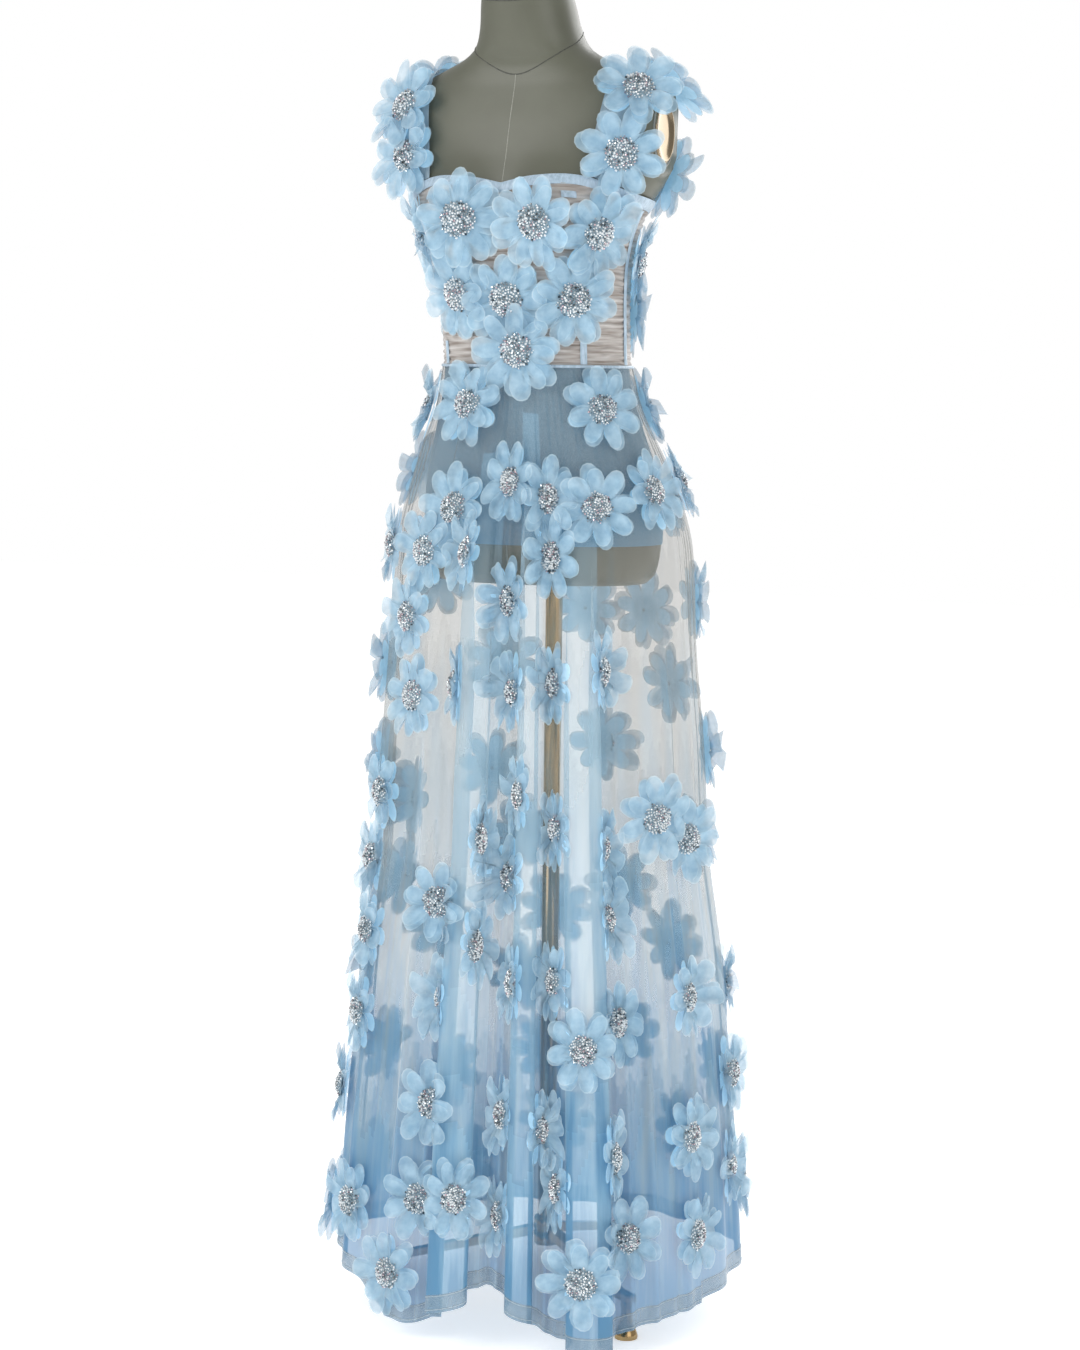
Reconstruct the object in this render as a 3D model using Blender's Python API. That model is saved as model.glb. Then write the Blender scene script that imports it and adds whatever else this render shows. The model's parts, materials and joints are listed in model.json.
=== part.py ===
"""A tulle gown covered in raised flowers, worn on a limbless dress form with a three-legged stand.

Everything is laid out round the pole, in metres, the gown's front towards -Y and its left side towards +X.
Angles are in degrees round the body: 0 is the centre front, 90 the left side seam, 180 the centre back.
Cloth pieces are thin walls round the body, each worked out from the radius of the body or the skirt there.
"""

import bisect
import math

import bpy
from mathutils import Vector
from mathutils.geometry import delaunay_2d_cdt

# Driving heights
FLOOR = 0.0
FORM_BOTTOM = 0.907
LINING_HEM = 0.955
WAIST = 1.170
CHANNEL_TOP = 1.198
BUST = 1.345
ARM_CENTRE = 1.445
NECK_TOP = 1.648
CAP_TOP = 1.660

# Cloth
SEAM_GAP = 0.0003
SEAM_RADIUS = 0.085
BODICE_INNER, BODICE_OUTER = 0.0027, 0.0042
LINING_INNER, LINING_OUTER = 0.0006, 0.0018
TRIM_CLEAR, TRIM_THICK = 0.0010, 0.0012
NARROW_TRIM_CLEAR = 0.0007
TRIM_END_GAP = 0.0010
SKIRT_WALL = 0.0020
SKIRT_CLEAR = 0.0008

# Flowers: eight petals round a dome of beads
PETALS = 8
PETAL_REACH = 0.048
NOTCH_REACH = 0.036
BEADS_REACH = 0.019
BEADS_RISE = 0.010
BEADS_SIDES = 6
FLOWER_SPIN_STEP, FLOWER_SPIN_RANGE = 17, 45
BODICE_FLOWER_MARGIN, SKIRT_FLOWER_MARGIN = 0.012, 0.002
FLOWER_EDGE_MARGIN = 0.004
STRAP_FLOWER_SCALE = 0.76
STRAP_FLOWER_RISE = 0.009
STRAP_PETAL_THICK = 0.0016

# Body: middle of each section along Y (height, centre)
CENTRE = (
    (0.000, -0.025),
    (0.450, -0.027),
    (0.700, -0.030),
    (0.907, -0.032),
    (0.995, -0.035),
    (1.040, -0.040),
    (1.090, -0.048),
    (1.130, -0.053),
    (1.170, -0.056),
    (1.250, -0.064),
    (1.320, -0.071),
    (1.350, -0.073),
    (1.420, -0.071),
    (1.500, -0.067),
    (1.523, -0.071),
    (1.545, -0.079),
    (1.595, -0.093),
    (1.648, -0.107),
)

# Dress form sections (height, half width, front depth, back depth)
FORM = (
    (0.907, 0.130, 0.090, 0.087),
    (0.918, 0.141, 0.099, 0.095),
    (0.950, 0.148, 0.104, 0.101),
    (0.995, 0.149, 0.105, 0.103),
    (1.040, 0.143, 0.102, 0.101),
    (1.090, 0.129, 0.095, 0.094),
    (1.130, 0.118, 0.091, 0.087),
    (1.170, 0.1125, 0.088, 0.083),
    (1.210, 0.1125, 0.090, 0.083),
    (1.250, 0.1135, 0.093, 0.085),
    (1.290, 0.117, 0.096, 0.088),
    (1.320, 0.124, 0.096, 0.091),
    (1.335, 0.130, 0.095, 0.093),
    (1.350, 0.137, 0.093, 0.095),
    (1.370, 0.152, 0.0895, 0.097),
    (1.390, 0.166, 0.086, 0.098),
    (1.420, 0.182, 0.079, 0.098),
    (1.460, 0.186, 0.072, 0.094),
    (1.485, 0.182, 0.066, 0.088),
    (1.500, 0.165, 0.062, 0.083),
    (1.512, 0.141, 0.059, 0.077),
    (1.523, 0.115, 0.056, 0.070),
    (1.533, 0.090, 0.055, 0.064),
    (1.545, 0.0715, 0.056, 0.060),
    (1.565, 0.0615, 0.056, 0.057),
    (1.595, 0.0560, 0.054, 0.055),
    (1.620, 0.0520, 0.051, 0.052),
    (1.648, 0.0495, 0.049, 0.050),
)
BODY_ROUNDNESS = 2.2
BUST_ANGLE, BUST_SPREAD, BUST_REACH, BUST_DEPTH = 34, 19, 0.045, 0.030
ARM_CUT = 0.166

# Skirt sections (height, half width, front depth, back depth)
SKIRT = (
    (0.000, 0.247, 0.230, 0.262),
    (0.050, 0.246, 0.229, 0.261),
    (0.200, 0.238, 0.218, 0.247),
    (0.320, 0.228, 0.207, 0.233),
    (0.450, 0.217, 0.195, 0.217),
    (0.570, 0.201, 0.179, 0.199),
    (0.700, 0.195, 0.171, 0.188),
    (0.820, 0.186, 0.161, 0.177),
    (0.950, 0.180, 0.151, 0.166),
    (1.000, 0.169, 0.139, 0.152),
    (1.070, 0.145, 0.116, 0.124),
    (1.120, 0.126, 0.099, 0.100),
    (1.170, 0.116, 0.091, 0.086),
)
SKIRT_ROUNDNESS = 2.1

# Tubular front folds (angle, half width in degrees, depth, height where it starts)
FRONT_FOLDS = (
    (-2, 8.0, 0.036, 1.08),
    (19.5, 5.0, 0.030, 1.13),
    (39, 8.0, 0.040, 1.02),
)
FRONT_TROUGH = 0.012
SOFT_FOLD_PITCH = 20
SOFT_FOLD_DEPTH = 0.009
# How far below its start a fold takes to reach its full depth
FRONT_FOLD_GROWTH, TROUGH_GROWTH, SOFT_FOLD_GROWTH = 0.22, 0.25, 0.50
TROUGH_START, SOFT_FOLD_START = 1.00, 1.08

# Height of the hem round the skirt (angle, height)
HEM = (
    (-180, 0.058),
    (-90, 0.070),
    (-62, 0.064),
    (-38, 0.050),
    (-20, 0.020),
    (-6, 0.040),
    (10, 0.080),
    (21, 0.044),
    (40, 0.009),
    (56, 0.032),
    (75, 0.042),
    (100, 0.056),
    (140, 0.060),
    (180, 0.058),
)

# Upper edge of the bodice (angle from the centre front, height)
BODICE_TOP = (
    (0, 1.383),
    (25, 1.391),
    (50, 1.391),
    (75, 1.372),
    (90, 1.366),
    (120, 1.361),
    (180, 1.360),
)
BINDING_WIDTH = 0.012
SECOND_BAND_DROP, SECOND_BAND_WIDTH = 0.020, 0.008
SECOND_BAND_ENDS = (39, 47)
CHANNEL_ANGLE = 55
CHANNEL_WIDTH = 0.008
SIDE_SEAM = 90

# Straps: middle from the body's centre plane at the neckline and on the shoulder
STRAP_WIDTH = 0.042
STRAP_AT_BODICE, STRAP_AT_SHOULDER = 0.123, 0.140
STRAP_INNER, STRAP_OUTER = 0.0038, 0.0053
STRAP_END_GAP = 0.0027
STRAP_STATIONS, STRAP_LANES = 24, (-1, -0.33, 0.33, 1)
# Flowers of a strap (place along it from the front, lift of the petals off the tulle)
STRAP_FLOWERS = ((0.09, 0.0006), (0.34, 0.0006), (0.62, 0.0000), (0.89, 0.0006))
STRAP_FLOWER_TURN = 3.0

# Stand
POLE_RADIUS = 0.0105
HUB_BOTTOM, HUB_TOP = 0.068, 0.104
HUB_RADIUS, HUB_BEVEL = 0.0160, 0.0015
FOOT_CIRCLE = 0.200
FOOT_HEIGHT = 0.046
FOOT_ANGLES = (54, 174, -66)
LEG_WIDTH, LEG_THICK = 0.014, 0.009
LEG_ROOT_GAP, LEG_ROOT_RISE, LEG_ROOT_THICK = 0.0005, 0.012, 0.012
LEG_PAD_IN, LEG_PAD_OUT = 0.018, 0.011

# Flowers on the bodice (angle, height)
BODICE_FLOWERS = (
    (-53, 1.326), (-21, 1.340), (26, 1.336), (59, 1.322),
    (-36, 1.254), (5, 1.248), (48, 1.250), (11, 1.196),
    (-109, 1.300), (108, 1.296), (-118, 1.226), (117, 1.238),
    (-150, 1.310), (150, 1.306), (-158, 1.222), (157, 1.226),
)

# Flowers on the skirt (angle, height), from the waist down, first those of the front and the left side
SKIRT_FLOWERS = (
    (-25, 1.123), (61, 1.118), (9, 1.031), (27, 1.013), (-20, 0.999), (48, 1.002), (76, 1.021),
    (-33, 0.947), (-6, 0.948), (28, 0.945), (10, 0.893), (-42, 0.866), (-34, 0.772), (-8, 0.791),
    (13, 0.785), (30, 0.796), (45, 0.813), (18, 0.667), (31, 0.624), (67, 0.635), (84, 0.604),
    (13, 0.565), (3, 0.612), (47, 0.601), (-16, 0.529), (3, 0.487), (48, 0.516), (30, 0.445),
    (17, 0.445), (76, 0.417), (51, 0.396), (-11, 0.416), (37, 0.371), (105, 0.304), (-13, 0.289),
    (13, 0.285), (25, 0.270), (45, 0.242), (73, 0.251), (99, 0.193), (-15, 0.174), (1, 0.189),
    (31, 0.200), (13, 0.165), (52, 0.139), (74, 0.132), (36, 0.098), (-46, 0.147), (-24, 0.078),
    # round the back and the right side
    (118, 1.120), (-72, 1.118), (180, 1.090), (110, 1.030), (-90, 1.038), (142, 1.000),
    (-140, 1.010), (-66, 0.950), (176, 0.960), (-112, 0.900), (160, 0.862), (-172, 0.860),
    (128, 0.880), (150, 0.770), (-140, 0.790), (-76, 0.800), (-178, 0.688), (118, 0.700),
    (-103, 0.620), (140, 0.580), (-66, 0.560), (-148, 0.560), (176, 0.500), (158, 0.430),
    (-120, 0.450), (-84, 0.430), (128, 0.400), (-50, 0.380), (-150, 0.370), (-100, 0.300),
    (-70, 0.270), (140, 0.280), (178, 0.300), (-128, 0.240), (158, 0.180), (-160, 0.170),
    (-95, 0.150), (126, 0.150), (-72, 0.120), (-132, 0.120), (-98, 0.520), (-156, 0.270),
    (-136, 0.650), (-50, 0.650), (-50, 0.480), (-160, 0.460), (-78, 0.680),
)

# Where the cloth bends, in degrees, and the heights of the rows of each piece
FORM_COLUMNS = tuple(range(-180, 180, 10))
FRONT_COLUMNS = (-30, -20, -10, -6, -2, 2, 6, 14, 19.5, 25, 31, 35, 39, 43, 47, 53, 60)
FLAT_RADIUS = 0.2
FLAT_ENOUGH = 0.0008
SKIRT_ROWS = (1.130, 1.090, 1.040, 0.995, 0.950, 0.880, 0.790)
HEM_ROWS = 5
BODICE_NET_TOP = 1.34


def clear_scene():
    for thing in list(bpy.data.objects):
        bpy.data.objects.remove(thing)


def material(name, hex_colour, roughness, metallic=0.0):
    """A plain finish from an sRGB colour."""
    made = bpy.data.materials.new(name)
    made.use_nodes = True
    shader = made.node_tree.nodes["Principled BSDF"]
    channels = [int(hex_colour[k : k + 2], 16) / 255 for k in (1, 3, 5)]
    linear = [c / 12.92 if c < 0.04045 else ((c + 0.055) / 1.055) ** 2.4 for c in channels]
    shader.inputs["Base Color"].default_value = (*linear, 1.0)
    shader.inputs["Roughness"].default_value = roughness
    shader.inputs["Metallic"].default_value = metallic
    return made


def smooth(pairs, x):
    """A soft curve through (x, value) pairs in rising order, level past its ends."""
    if x <= pairs[0][0]:
        return pairs[0][1]
    if x >= pairs[-1][0]:
        return pairs[-1][1]
    k = bisect.bisect_right([p[0] for p in pairs], x) - 1

    def slope(i):
        before, after = max(i - 1, 0), min(i + 1, len(pairs) - 1)
        return (pairs[after][1] - pairs[before][1]) / (pairs[after][0] - pairs[before][0])

    (x0, y0), (x1, y1) = pairs[k], pairs[k + 1]
    step = x1 - x0
    t = (x - x0) / step
    start, end = slope(k) * step, slope(k + 1) * step
    rise = 3 * t**2 - 2 * t**3
    return y0 + (y1 - y0) * rise + start * t * (1 - t) ** 2 - end * t**2 * (1 - t)


def ease(t):
    t = min(max(t, 0.0), 1.0)
    return t * t * (3 - 2 * t)


def by_height(sections):
    """(height, value) pairs for each later column of a table of sections."""
    return [[(row[0], row[k]) for row in sections] for k in range(1, len(sections[0]))]


def turned(angle):
    """The angle brought between -180 and 180 degrees."""
    return (angle + 180) % 360 - 180


def outward(angle):
    return Vector((math.sin(math.radians(angle)), -math.cos(math.radians(angle)), 0))


def on_body(radius, angle, height, out=0.0):
    """The point at this angle and height, out past the given radius function."""
    middle = Vector((0, smooth(CENTRE, height), height))
    return middle + outward(angle) * (radius(angle, height) + out)


def section_radius(curves, roundness, angle, height):
    width, front, back = (smooth(curve, height) for curve in curves)
    across = abs(math.sin(math.radians(angle)))
    along = math.cos(math.radians(angle))
    depth = front if along > 0 else back
    return ((across / width) ** roundness + (abs(along) / depth) ** roundness) ** (-1 / roundness)


FORM_CURVES = by_height(FORM)
SKIRT_CURVES = by_height(SKIRT)


def form_radius(angle, height):
    radius = section_radius(FORM_CURVES, BODY_ROUNDNESS, angle, height)
    rise = (height - BUST) / BUST_REACH
    for side in (-1, 1):
        turn = turned(angle - side * BUST_ANGLE) / BUST_SPREAD
        radius += BUST_DEPTH * math.exp(-(turn**2) - rise**2)
    across = abs(math.sin(math.radians(angle)))
    return min(radius, ARM_CUT / across) if across > 0.1 else radius


def front_fold(angle, height):
    """Outward depth of the tubular folds of the front, with the cloth drawn in between them."""
    depth = 0.0
    for middle, half_width, reach, start in FRONT_FOLDS:
        across = abs(turned(angle - middle)) / half_width
        if across < 1:
            depth += reach * (1 - ease(across)) * ease((start - height) / FRONT_FOLD_GROWTH)
    window = ease((turned(angle) + 22) / 14) * ease((62 - turned(angle)) / 14)
    return depth - FRONT_TROUGH * window * ease((TROUGH_START - height) / TROUGH_GROWTH)


def soft_fold(angle, height):
    """Soft upright waves round the sides and the back."""
    turn = angle % 360
    window = ease((turn - 60) / 20) * ease((330 - turn) / 20)
    uneven = 0.75 + 0.25 * math.cos(math.radians(turn * 1.5))
    wave = math.cos(2 * math.pi * (turn - 70) / SOFT_FOLD_PITCH)
    growth = ease((SOFT_FOLD_START - height) / SOFT_FOLD_GROWTH)
    return SOFT_FOLD_DEPTH * window * uneven * wave * growth


def skirt_radius(angle, height):
    radius = section_radius(SKIRT_CURVES, SKIRT_ROUNDNESS, angle, height)
    radius += front_fold(angle, height) + soft_fold(angle, height)
    if height > FORM_BOTTOM - 0.02:
        radius = max(radius, form_radius(angle, height) + LINING_OUTER + SKIRT_CLEAR)
    return radius


def hem_height(angle):
    return smooth(HEM, turned(angle))


def bodice_top(angle):
    return smooth(BODICE_TOP, abs(turned(angle)))


def add_object(name, points, faces, finish, root):
    mesh = bpy.data.meshes.new(name)
    mesh.from_pydata([tuple(p) for p in points], [], faces)
    mesh.materials.append(finish)
    mesh.shade_smooth()
    mesh.set_sharp_from_angle(angle=math.radians(35))
    made = bpy.data.objects.new(name, mesh)
    bpy.context.scene.collection.objects.link(made)
    made.parent = root
    return made


def petal_outline(middle, spin, across_scale):
    """Corners of a flower in the flat layout: petal tips and the notches between them."""
    corners = []
    for k in range(2 * PETALS):
        reach = NOTCH_REACH if k % 2 else PETAL_REACH
        turn = spin + math.pi * k / PETALS
        corners.append((middle[0] + reach * math.cos(turn) * across_scale,
                        middle[1] + reach * math.sin(turn)))
    return corners


def petal_edge(turn):
    """How far the straight-sided outline reaches from the middle in this direction."""
    step = math.pi / PETALS
    k = int(turn // step)
    here, there = (NOTCH_REACH, PETAL_REACH) if k % 2 else (PETAL_REACH, NOTCH_REACH)
    part = turn - k * step
    return here * there * math.sin(step) / (here * math.sin(part) + there * math.sin(step - part))


class Flower:
    """A flower in the flat layout of a piece of cloth."""

    def __init__(self, number, angle, height, radius):
        self.x, self.z = math.radians(angle) * FLAT_RADIUS, height
        self.across_scale = FLAT_RADIUS / radius(angle, height)
        self.spin = math.radians(number * FLOWER_SPIN_STEP % FLOWER_SPIN_RANGE)

    def outline(self, keep_inside):
        corners = petal_outline((self.x, self.z), self.spin, self.across_scale)
        return [keep_inside(x, z) for x, z in corners]

    def beads(self, keep_inside):
        corners = []
        for k in range(BEADS_SIDES):
            turn = self.spin + 2 * math.pi * k / BEADS_SIDES
            corners.append(keep_inside(self.x + BEADS_REACH * math.cos(turn) * self.across_scale,
                                       self.z + BEADS_REACH * math.sin(turn)))
        return corners

    def rise(self, x, z):
        """How far the flower stands out of the cloth at a point of the layout."""
        across, up = (x - self.x) / self.across_scale, z - self.z
        reach = math.hypot(across, up)
        edge = petal_edge((math.atan2(up, across) - self.spin) % (2 * math.pi))
        return BEADS_RISE * min(max((edge - reach) / (edge - BEADS_REACH), 0.0), 1.0)


class Field:
    """The part of a flat layout where flowers may rise: between two angles, and between two edges."""

    def __init__(self, first, last, margin, low_at, top_at):
        self.low_x = math.radians(first) * FLAT_RADIUS + margin
        self.high_x = math.radians(last) * FLAT_RADIUS - margin
        self.low_at, self.top_at = low_at, top_at

    def keep(self, x, z):
        x = min(max(x, self.low_x), self.high_x)
        angle = math.degrees(x / FLAT_RADIUS)
        return x, min(max(z, self.low_at(angle)), self.top_at(angle))

    def room(self, x, z):
        """How far inside the field a place is, 0 on its edge and outside."""
        angle = math.degrees(x / FLAT_RADIUS)
        return max(min(x - self.low_x, self.high_x - x, z - self.low_at(angle), self.top_at(angle) - z), 0)


class Layout:
    """A net of columns and rows in the flat layout, and the wall's outer points over it."""

    def __init__(self, columns, rows_at, radius, inner, outer):
        self.columns, self.radius = columns, radius
        self.rows = [rows_at(angle) for angle in columns]
        self.x = [math.radians(angle) * FLAT_RADIUS for angle in columns]
        self.inner = self.net(inner)
        self.outer = self.net(outer)

    def net(self, out):
        return [[on_body(self.radius, angle, height, out) for height in rows]
                for angle, rows in zip(self.columns, self.rows)]

    def triangles(self):
        """Corners (column, row) of each triangle, facing out."""
        found = []
        for i in range(len(self.columns) - 1):
            for j in range(len(self.rows[0]) - 1):
                low_left, low_right = (i, j + 1), (i + 1, j + 1)
                top_left, top_right = (i, j), (i + 1, j)
                found += [(low_left, low_right, top_right), (low_left, top_right, top_left)]
        return found

    def bent_edges(self):
        """Pairs of nodes whose edge the outer facets have to keep: the rim, and each real bend."""
        across = {}
        for triangle in self.triangles():
            for k in range(3):
                edge = tuple(sorted((triangle[k], triangle[k - 1])))
                across.setdefault(edge, []).append(triangle[k - 2])
        kept = []
        for (a, b), tips in across.items():
            if len(tips) == 2:
                start, end, tip, other = (self.outer[i][j] for i, j in (a, b, *tips))
                plane = (end - start).cross(tip - start).normalized()
                if abs(plane.dot(other - start)) / 2 < FLAT_ENOUGH:
                    continue
            kept.append((a, b))
        return sorted(kept)

    def covers(self, x, z):
        i = min(max(bisect.bisect_right(self.x, x) - 1, 0), len(self.x) - 2)
        t = (x - self.x[i]) / (self.x[i + 1] - self.x[i])
        top, low = (self.rows[i][j] * (1 - t) + self.rows[i + 1][j] * t for j in (0, -1))
        return low < z < top

    def rim(self):
        """Nodes round the edge of the net, anticlockwise as seen from outside."""
        last_column, last_row = len(self.columns) - 1, len(self.rows[0]) - 1
        return ([(i, last_row) for i in range(last_column)]
                + [(last_column, j) for j in range(last_row, 0, -1)]
                + [(i, 0) for i in range(last_column, 0, -1)]
                + [(0, j) for j in range(last_row)])

    def point(self, x, z):
        """The wall's outer point over a place in the layout, on the flat facets of the net."""
        i = min(max(bisect.bisect_right(self.x, x) - 1, 0), len(self.x) - 2)
        t = (x - self.x[i]) / (self.x[i + 1] - self.x[i])

        def across(values, j, k):
            return values[i][j] * (1 - t) + values[i + 1][k] * t

        row = next((j for j in range(len(self.rows[0]) - 2) if z >= across(self.rows, j + 1, j + 1)),
                   len(self.rows[0]) - 2)
        middle = across(self.rows, row + 1, row)
        if z >= middle:
            edge, on_edge = across(self.rows, row, row), across(self.outer, row, row)
        else:
            edge, on_edge = across(self.rows, row + 1, row + 1), across(self.outer, row + 1, row + 1)
        on_middle = across(self.outer, row + 1, row)
        part = (z - middle) / (edge - middle) if abs(edge - middle) > 1e-9 else 0.0
        return on_middle * (1 - part) + on_edge * part


def relief_faces(layout, flowers, field):
    """Outer points and triangles of a wall with flowers raised in it. The net's nodes keep their numbers."""
    rows = len(layout.rows[0])
    flat = [Vector((x, z)) for x, heights in zip(layout.x, layout.rows) for z in heights]
    edges = [(a * rows + b, c * rows + d) for (a, b), (c, d) in layout.bent_edges()]
    for flower in flowers:
        first, ring = len(flat), flower.outline(field.keep)
        flat += [Vector(corner) for corner in ring + flower.beads(field.keep)]
        edges += [(first + k, first + (k + 1) % len(ring)) for k in range(len(ring))]
    made, _, faces, sources, _, _ = delaunay_2d_cdt(flat, edges, [], 1, 1e-6, True)
    faces = [face for face in faces
             if layout.covers(*(sum(made[k][axis] for k in face) / 3 for axis in (0, 1)))]
    rim = {i * rows + j for i, j in layout.rim()}
    points, node_at = [], {}
    for index, (place, source) in enumerate(zip(made, sources)):
        nodes = [s for s in source if s < len(layout.x) * rows]
        for node in nodes:
            node_at[node] = index
        if nodes:
            spot = layout.outer[nodes[0] // rows][nodes[0] % rows]
        else:
            spot = layout.point(place.x, place.y)
        rise = 0.0
        if not rim.intersection(nodes):
            rise = max(flower.rise(place.x, place.y) for flower in flowers)
            rise = min(rise, field.room(place.x, place.y))
        points.append(spot + outward(math.degrees(place.x / FLAT_RADIUS)) * rise)
    return points, [tuple(face) for face in faces], node_at


def add_panel(name, finish, root, layout, flowers=(), field=None):
    """A closed wall over the net, with its flowers raised in the outer side."""
    rows = len(layout.rows[0])
    numbers = {(i, j): i * rows + j for i in range(len(layout.columns)) for j in range(rows)}
    if flowers:
        outer, faces, node_at = relief_faces(layout, flowers, field)
    else:
        outer = [point for column in layout.outer for point in column]
        faces = [tuple(numbers[c] for c in triangle) for triangle in layout.triangles()]
        node_at = {number: number for number in numbers.values()}
    inner = [point for column in layout.inner for point in column]
    first = len(outer)
    for a, b, c in layout.triangles():
        faces.append((first + numbers[c], first + numbers[b], first + numbers[a]))
    rim = [numbers[node] for node in layout.rim()]
    for a, b in zip(rim, rim[1:] + rim[:1]):
        faces.append((node_at[b], node_at[a], first + a))
        faces.append((node_at[b], first + a, first + b))
    return add_object(name, outer + inner, faces, finish, root)


def add_ring(name, finish, root, rows_at, radius, inner, outer, columns=FORM_COLUMNS):
    """A closed wall that goes right round the body."""
    heights = [rows_at(angle) for angle in columns]
    rows, count = len(heights[0]), len(columns)
    points = []
    for out in (outer, inner):
        for angle, column in zip(columns, heights):
            points += [on_body(radius, angle, height, out) for height in column]
    shift = count * rows
    faces = []
    for i in range(count):
        here, there = i * rows, (i + 1) % count * rows
        for j in range(rows - 1):
            faces += [(here + j + 1, there + j + 1, there + j), (here + j + 1, there + j, here + j)]
            faces += [(shift + there + j, shift + there + j + 1, shift + here + j + 1),
                      (shift + here + j, shift + there + j, shift + here + j + 1)]
        here_low, there_low = here + rows - 1, there + rows - 1
        faces += [(there_low, here_low, shift + here_low),
                  (there_low, shift + here_low, shift + there_low)]
        faces += [(here, there, shift + there), (here, shift + there, shift + here)]
    return add_object(name, points, faces, finish, root)


def add_torso(finish, root):
    """The form's body and neck, a stack of sections closed flat at both ends."""
    heights = [row[0] for row in reversed(FORM)]
    rows, count = len(heights), len(FORM_COLUMNS)
    points = [on_body(form_radius, angle, height) for angle in FORM_COLUMNS for height in heights]
    faces = []
    for i in range(count):
        here, there = i * rows, (i + 1) % count * rows
        for j in range(rows - 1):
            faces += [(here + j + 1, there + j + 1, there + j), (here + j + 1, there + j, here + j)]
    faces.append(tuple(i * rows for i in range(count)))
    faces.append(tuple(i * rows + rows - 1 for i in reversed(range(count))))
    return add_object("form_torso", points, faces, finish, root)


def add_turned(name, profile, finish, root, place, segments=24, stretch=(1, 1)):
    """A solid turned round Z from (radius, height) pairs that rise from the bottom, both ends flat."""
    points, faces = [], []
    for radius, height in profile:
        for k in range(segments):
            turn = 2 * math.pi * k / segments
            x, y = radius * stretch[0] * math.cos(turn), radius * stretch[1] * math.sin(turn)
            points.append((x, y, height))
    for j in range(len(profile) - 1):
        for k in range(segments):
            after = (k + 1) % segments
            faces.append((j * segments + k, j * segments + after,
                          (j + 1) * segments + after, (j + 1) * segments + k))
    faces.append(tuple(reversed(range(segments))))
    faces.append(tuple((len(profile) - 1) * segments + k for k in range(segments)))
    made = add_object(name, points, faces, finish, root)
    made.location = place
    return made


def add_form(root):
    grey = material("form_cover", "#7E7F75", 0.55)
    gold = material("polished_gold", "#C9A866", 0.16, 1.0)
    add_torso(grey, root)
    cap_centre = smooth(CENTRE, NECK_TOP)
    cap = ((0.0465, 0.0), (0.0475, 0.002), (0.0475, 0.008), (0.0440, CAP_TOP - NECK_TOP - SEAM_GAP))
    add_turned("neck_cap", cap, grey, root, (0, cap_centre, NECK_TOP + SEAM_GAP), 20)
    plate = ((0.030, 0.0), (0.031, 0.0012), (0.030, 0.0036), (0.0265, 0.0036), (0.022, 0.0020))
    for side, turn in (("left", 1), ("right", -1)):
        place = (turn * (ARM_CUT + SEAM_GAP), smooth(CENTRE, ARM_CENTRE), ARM_CENTRE)
        made = add_turned(f"arm_plate_{side}", plate, gold, root, place, 20, (1.35, 1))
        made.rotation_euler = (0, turn * math.pi / 2, 0)


def add_leg(number, angle, finish, root):
    """A flat bar from the hub down to a pad over the foot."""
    root_under = HUB_BOTTOM + LEG_ROOT_RISE
    pad_under, pad_top = FOOT_HEIGHT + SEAM_GAP, FOOT_HEIGHT + LEG_THICK
    stations = (
        (HUB_RADIUS + LEG_ROOT_GAP, root_under, root_under + LEG_ROOT_THICK),
        (FOOT_CIRCLE - LEG_PAD_IN, pad_under, pad_top),
        (FOOT_CIRCLE + LEG_PAD_OUT, pad_under, pad_top),
    )
    half = LEG_WIDTH / 2
    points = []
    for reach, under, top in stations:
        points += [(-half, -reach, under), (half, -reach, under), (half, -reach, top), (-half, -reach, top)]
    faces = [(3, 2, 1, 0), (8, 9, 10, 11)]
    for s in (0, 4):
        for k in range(4):
            after = (k + 1) % 4
            faces.append((s + k, s + after, s + 4 + after, s + 4 + k))
    made = add_object(f"leg_{number}", points, faces, finish, root)
    made.rotation_euler = (0, 0, math.radians(angle))


def add_stand(root):
    gold = material("stand_gold", "#B8945A", 0.2, 1.0)
    pole = ((POLE_RADIUS, HUB_BOTTOM), (POLE_RADIUS, FORM_BOTTOM - SEAM_GAP))
    add_turned("pole", pole, gold, root, (0, 0, 0))
    bore = POLE_RADIUS + SEAM_GAP
    add_hub(bore, gold, root)
    bell = ((0.0140, 0.0), (0.0142, 0.004), (0.0115, 0.012), (0.0075, 0.022), (0.0062, 0.036),
            (0.0070, FOOT_HEIGHT))
    for number, angle in enumerate(FOOT_ANGLES, 1):
        add_leg(number, angle, gold, root)
        place = outward(angle) * FOOT_CIRCLE
        add_turned(f"foot_{number}", bell, gold, root, place, 14)


def add_hub(bore, finish, root):
    """A collar round the foot of the pole."""
    segments = 16
    lip, bevel = HUB_RADIUS - HUB_BEVEL, 2 * HUB_BEVEL
    outline = ((bore, HUB_BOTTOM), (lip, HUB_BOTTOM), (HUB_RADIUS, HUB_BOTTOM + bevel),
               (HUB_RADIUS, HUB_TOP - bevel), (lip, HUB_TOP), (bore, HUB_TOP))
    points, faces = [], []
    for radius, height in outline:
        for k in range(segments):
            turn = 2 * math.pi * k / segments
            points.append((radius * math.cos(turn), radius * math.sin(turn), height))
    for j in range(len(outline)):
        for k in range(segments):
            after, above = (k + 1) % segments, (j + 1) % len(outline)
            faces.append((j * segments + k, j * segments + after,
                          above * segments + after, above * segments + k))
    add_object("hub", points, faces, finish, root)


def form_rings(low, high):
    """Heights of the form's sections between two heights, from the top down."""
    return [row[0] for row in reversed(FORM) if low < row[0] < high]


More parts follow.
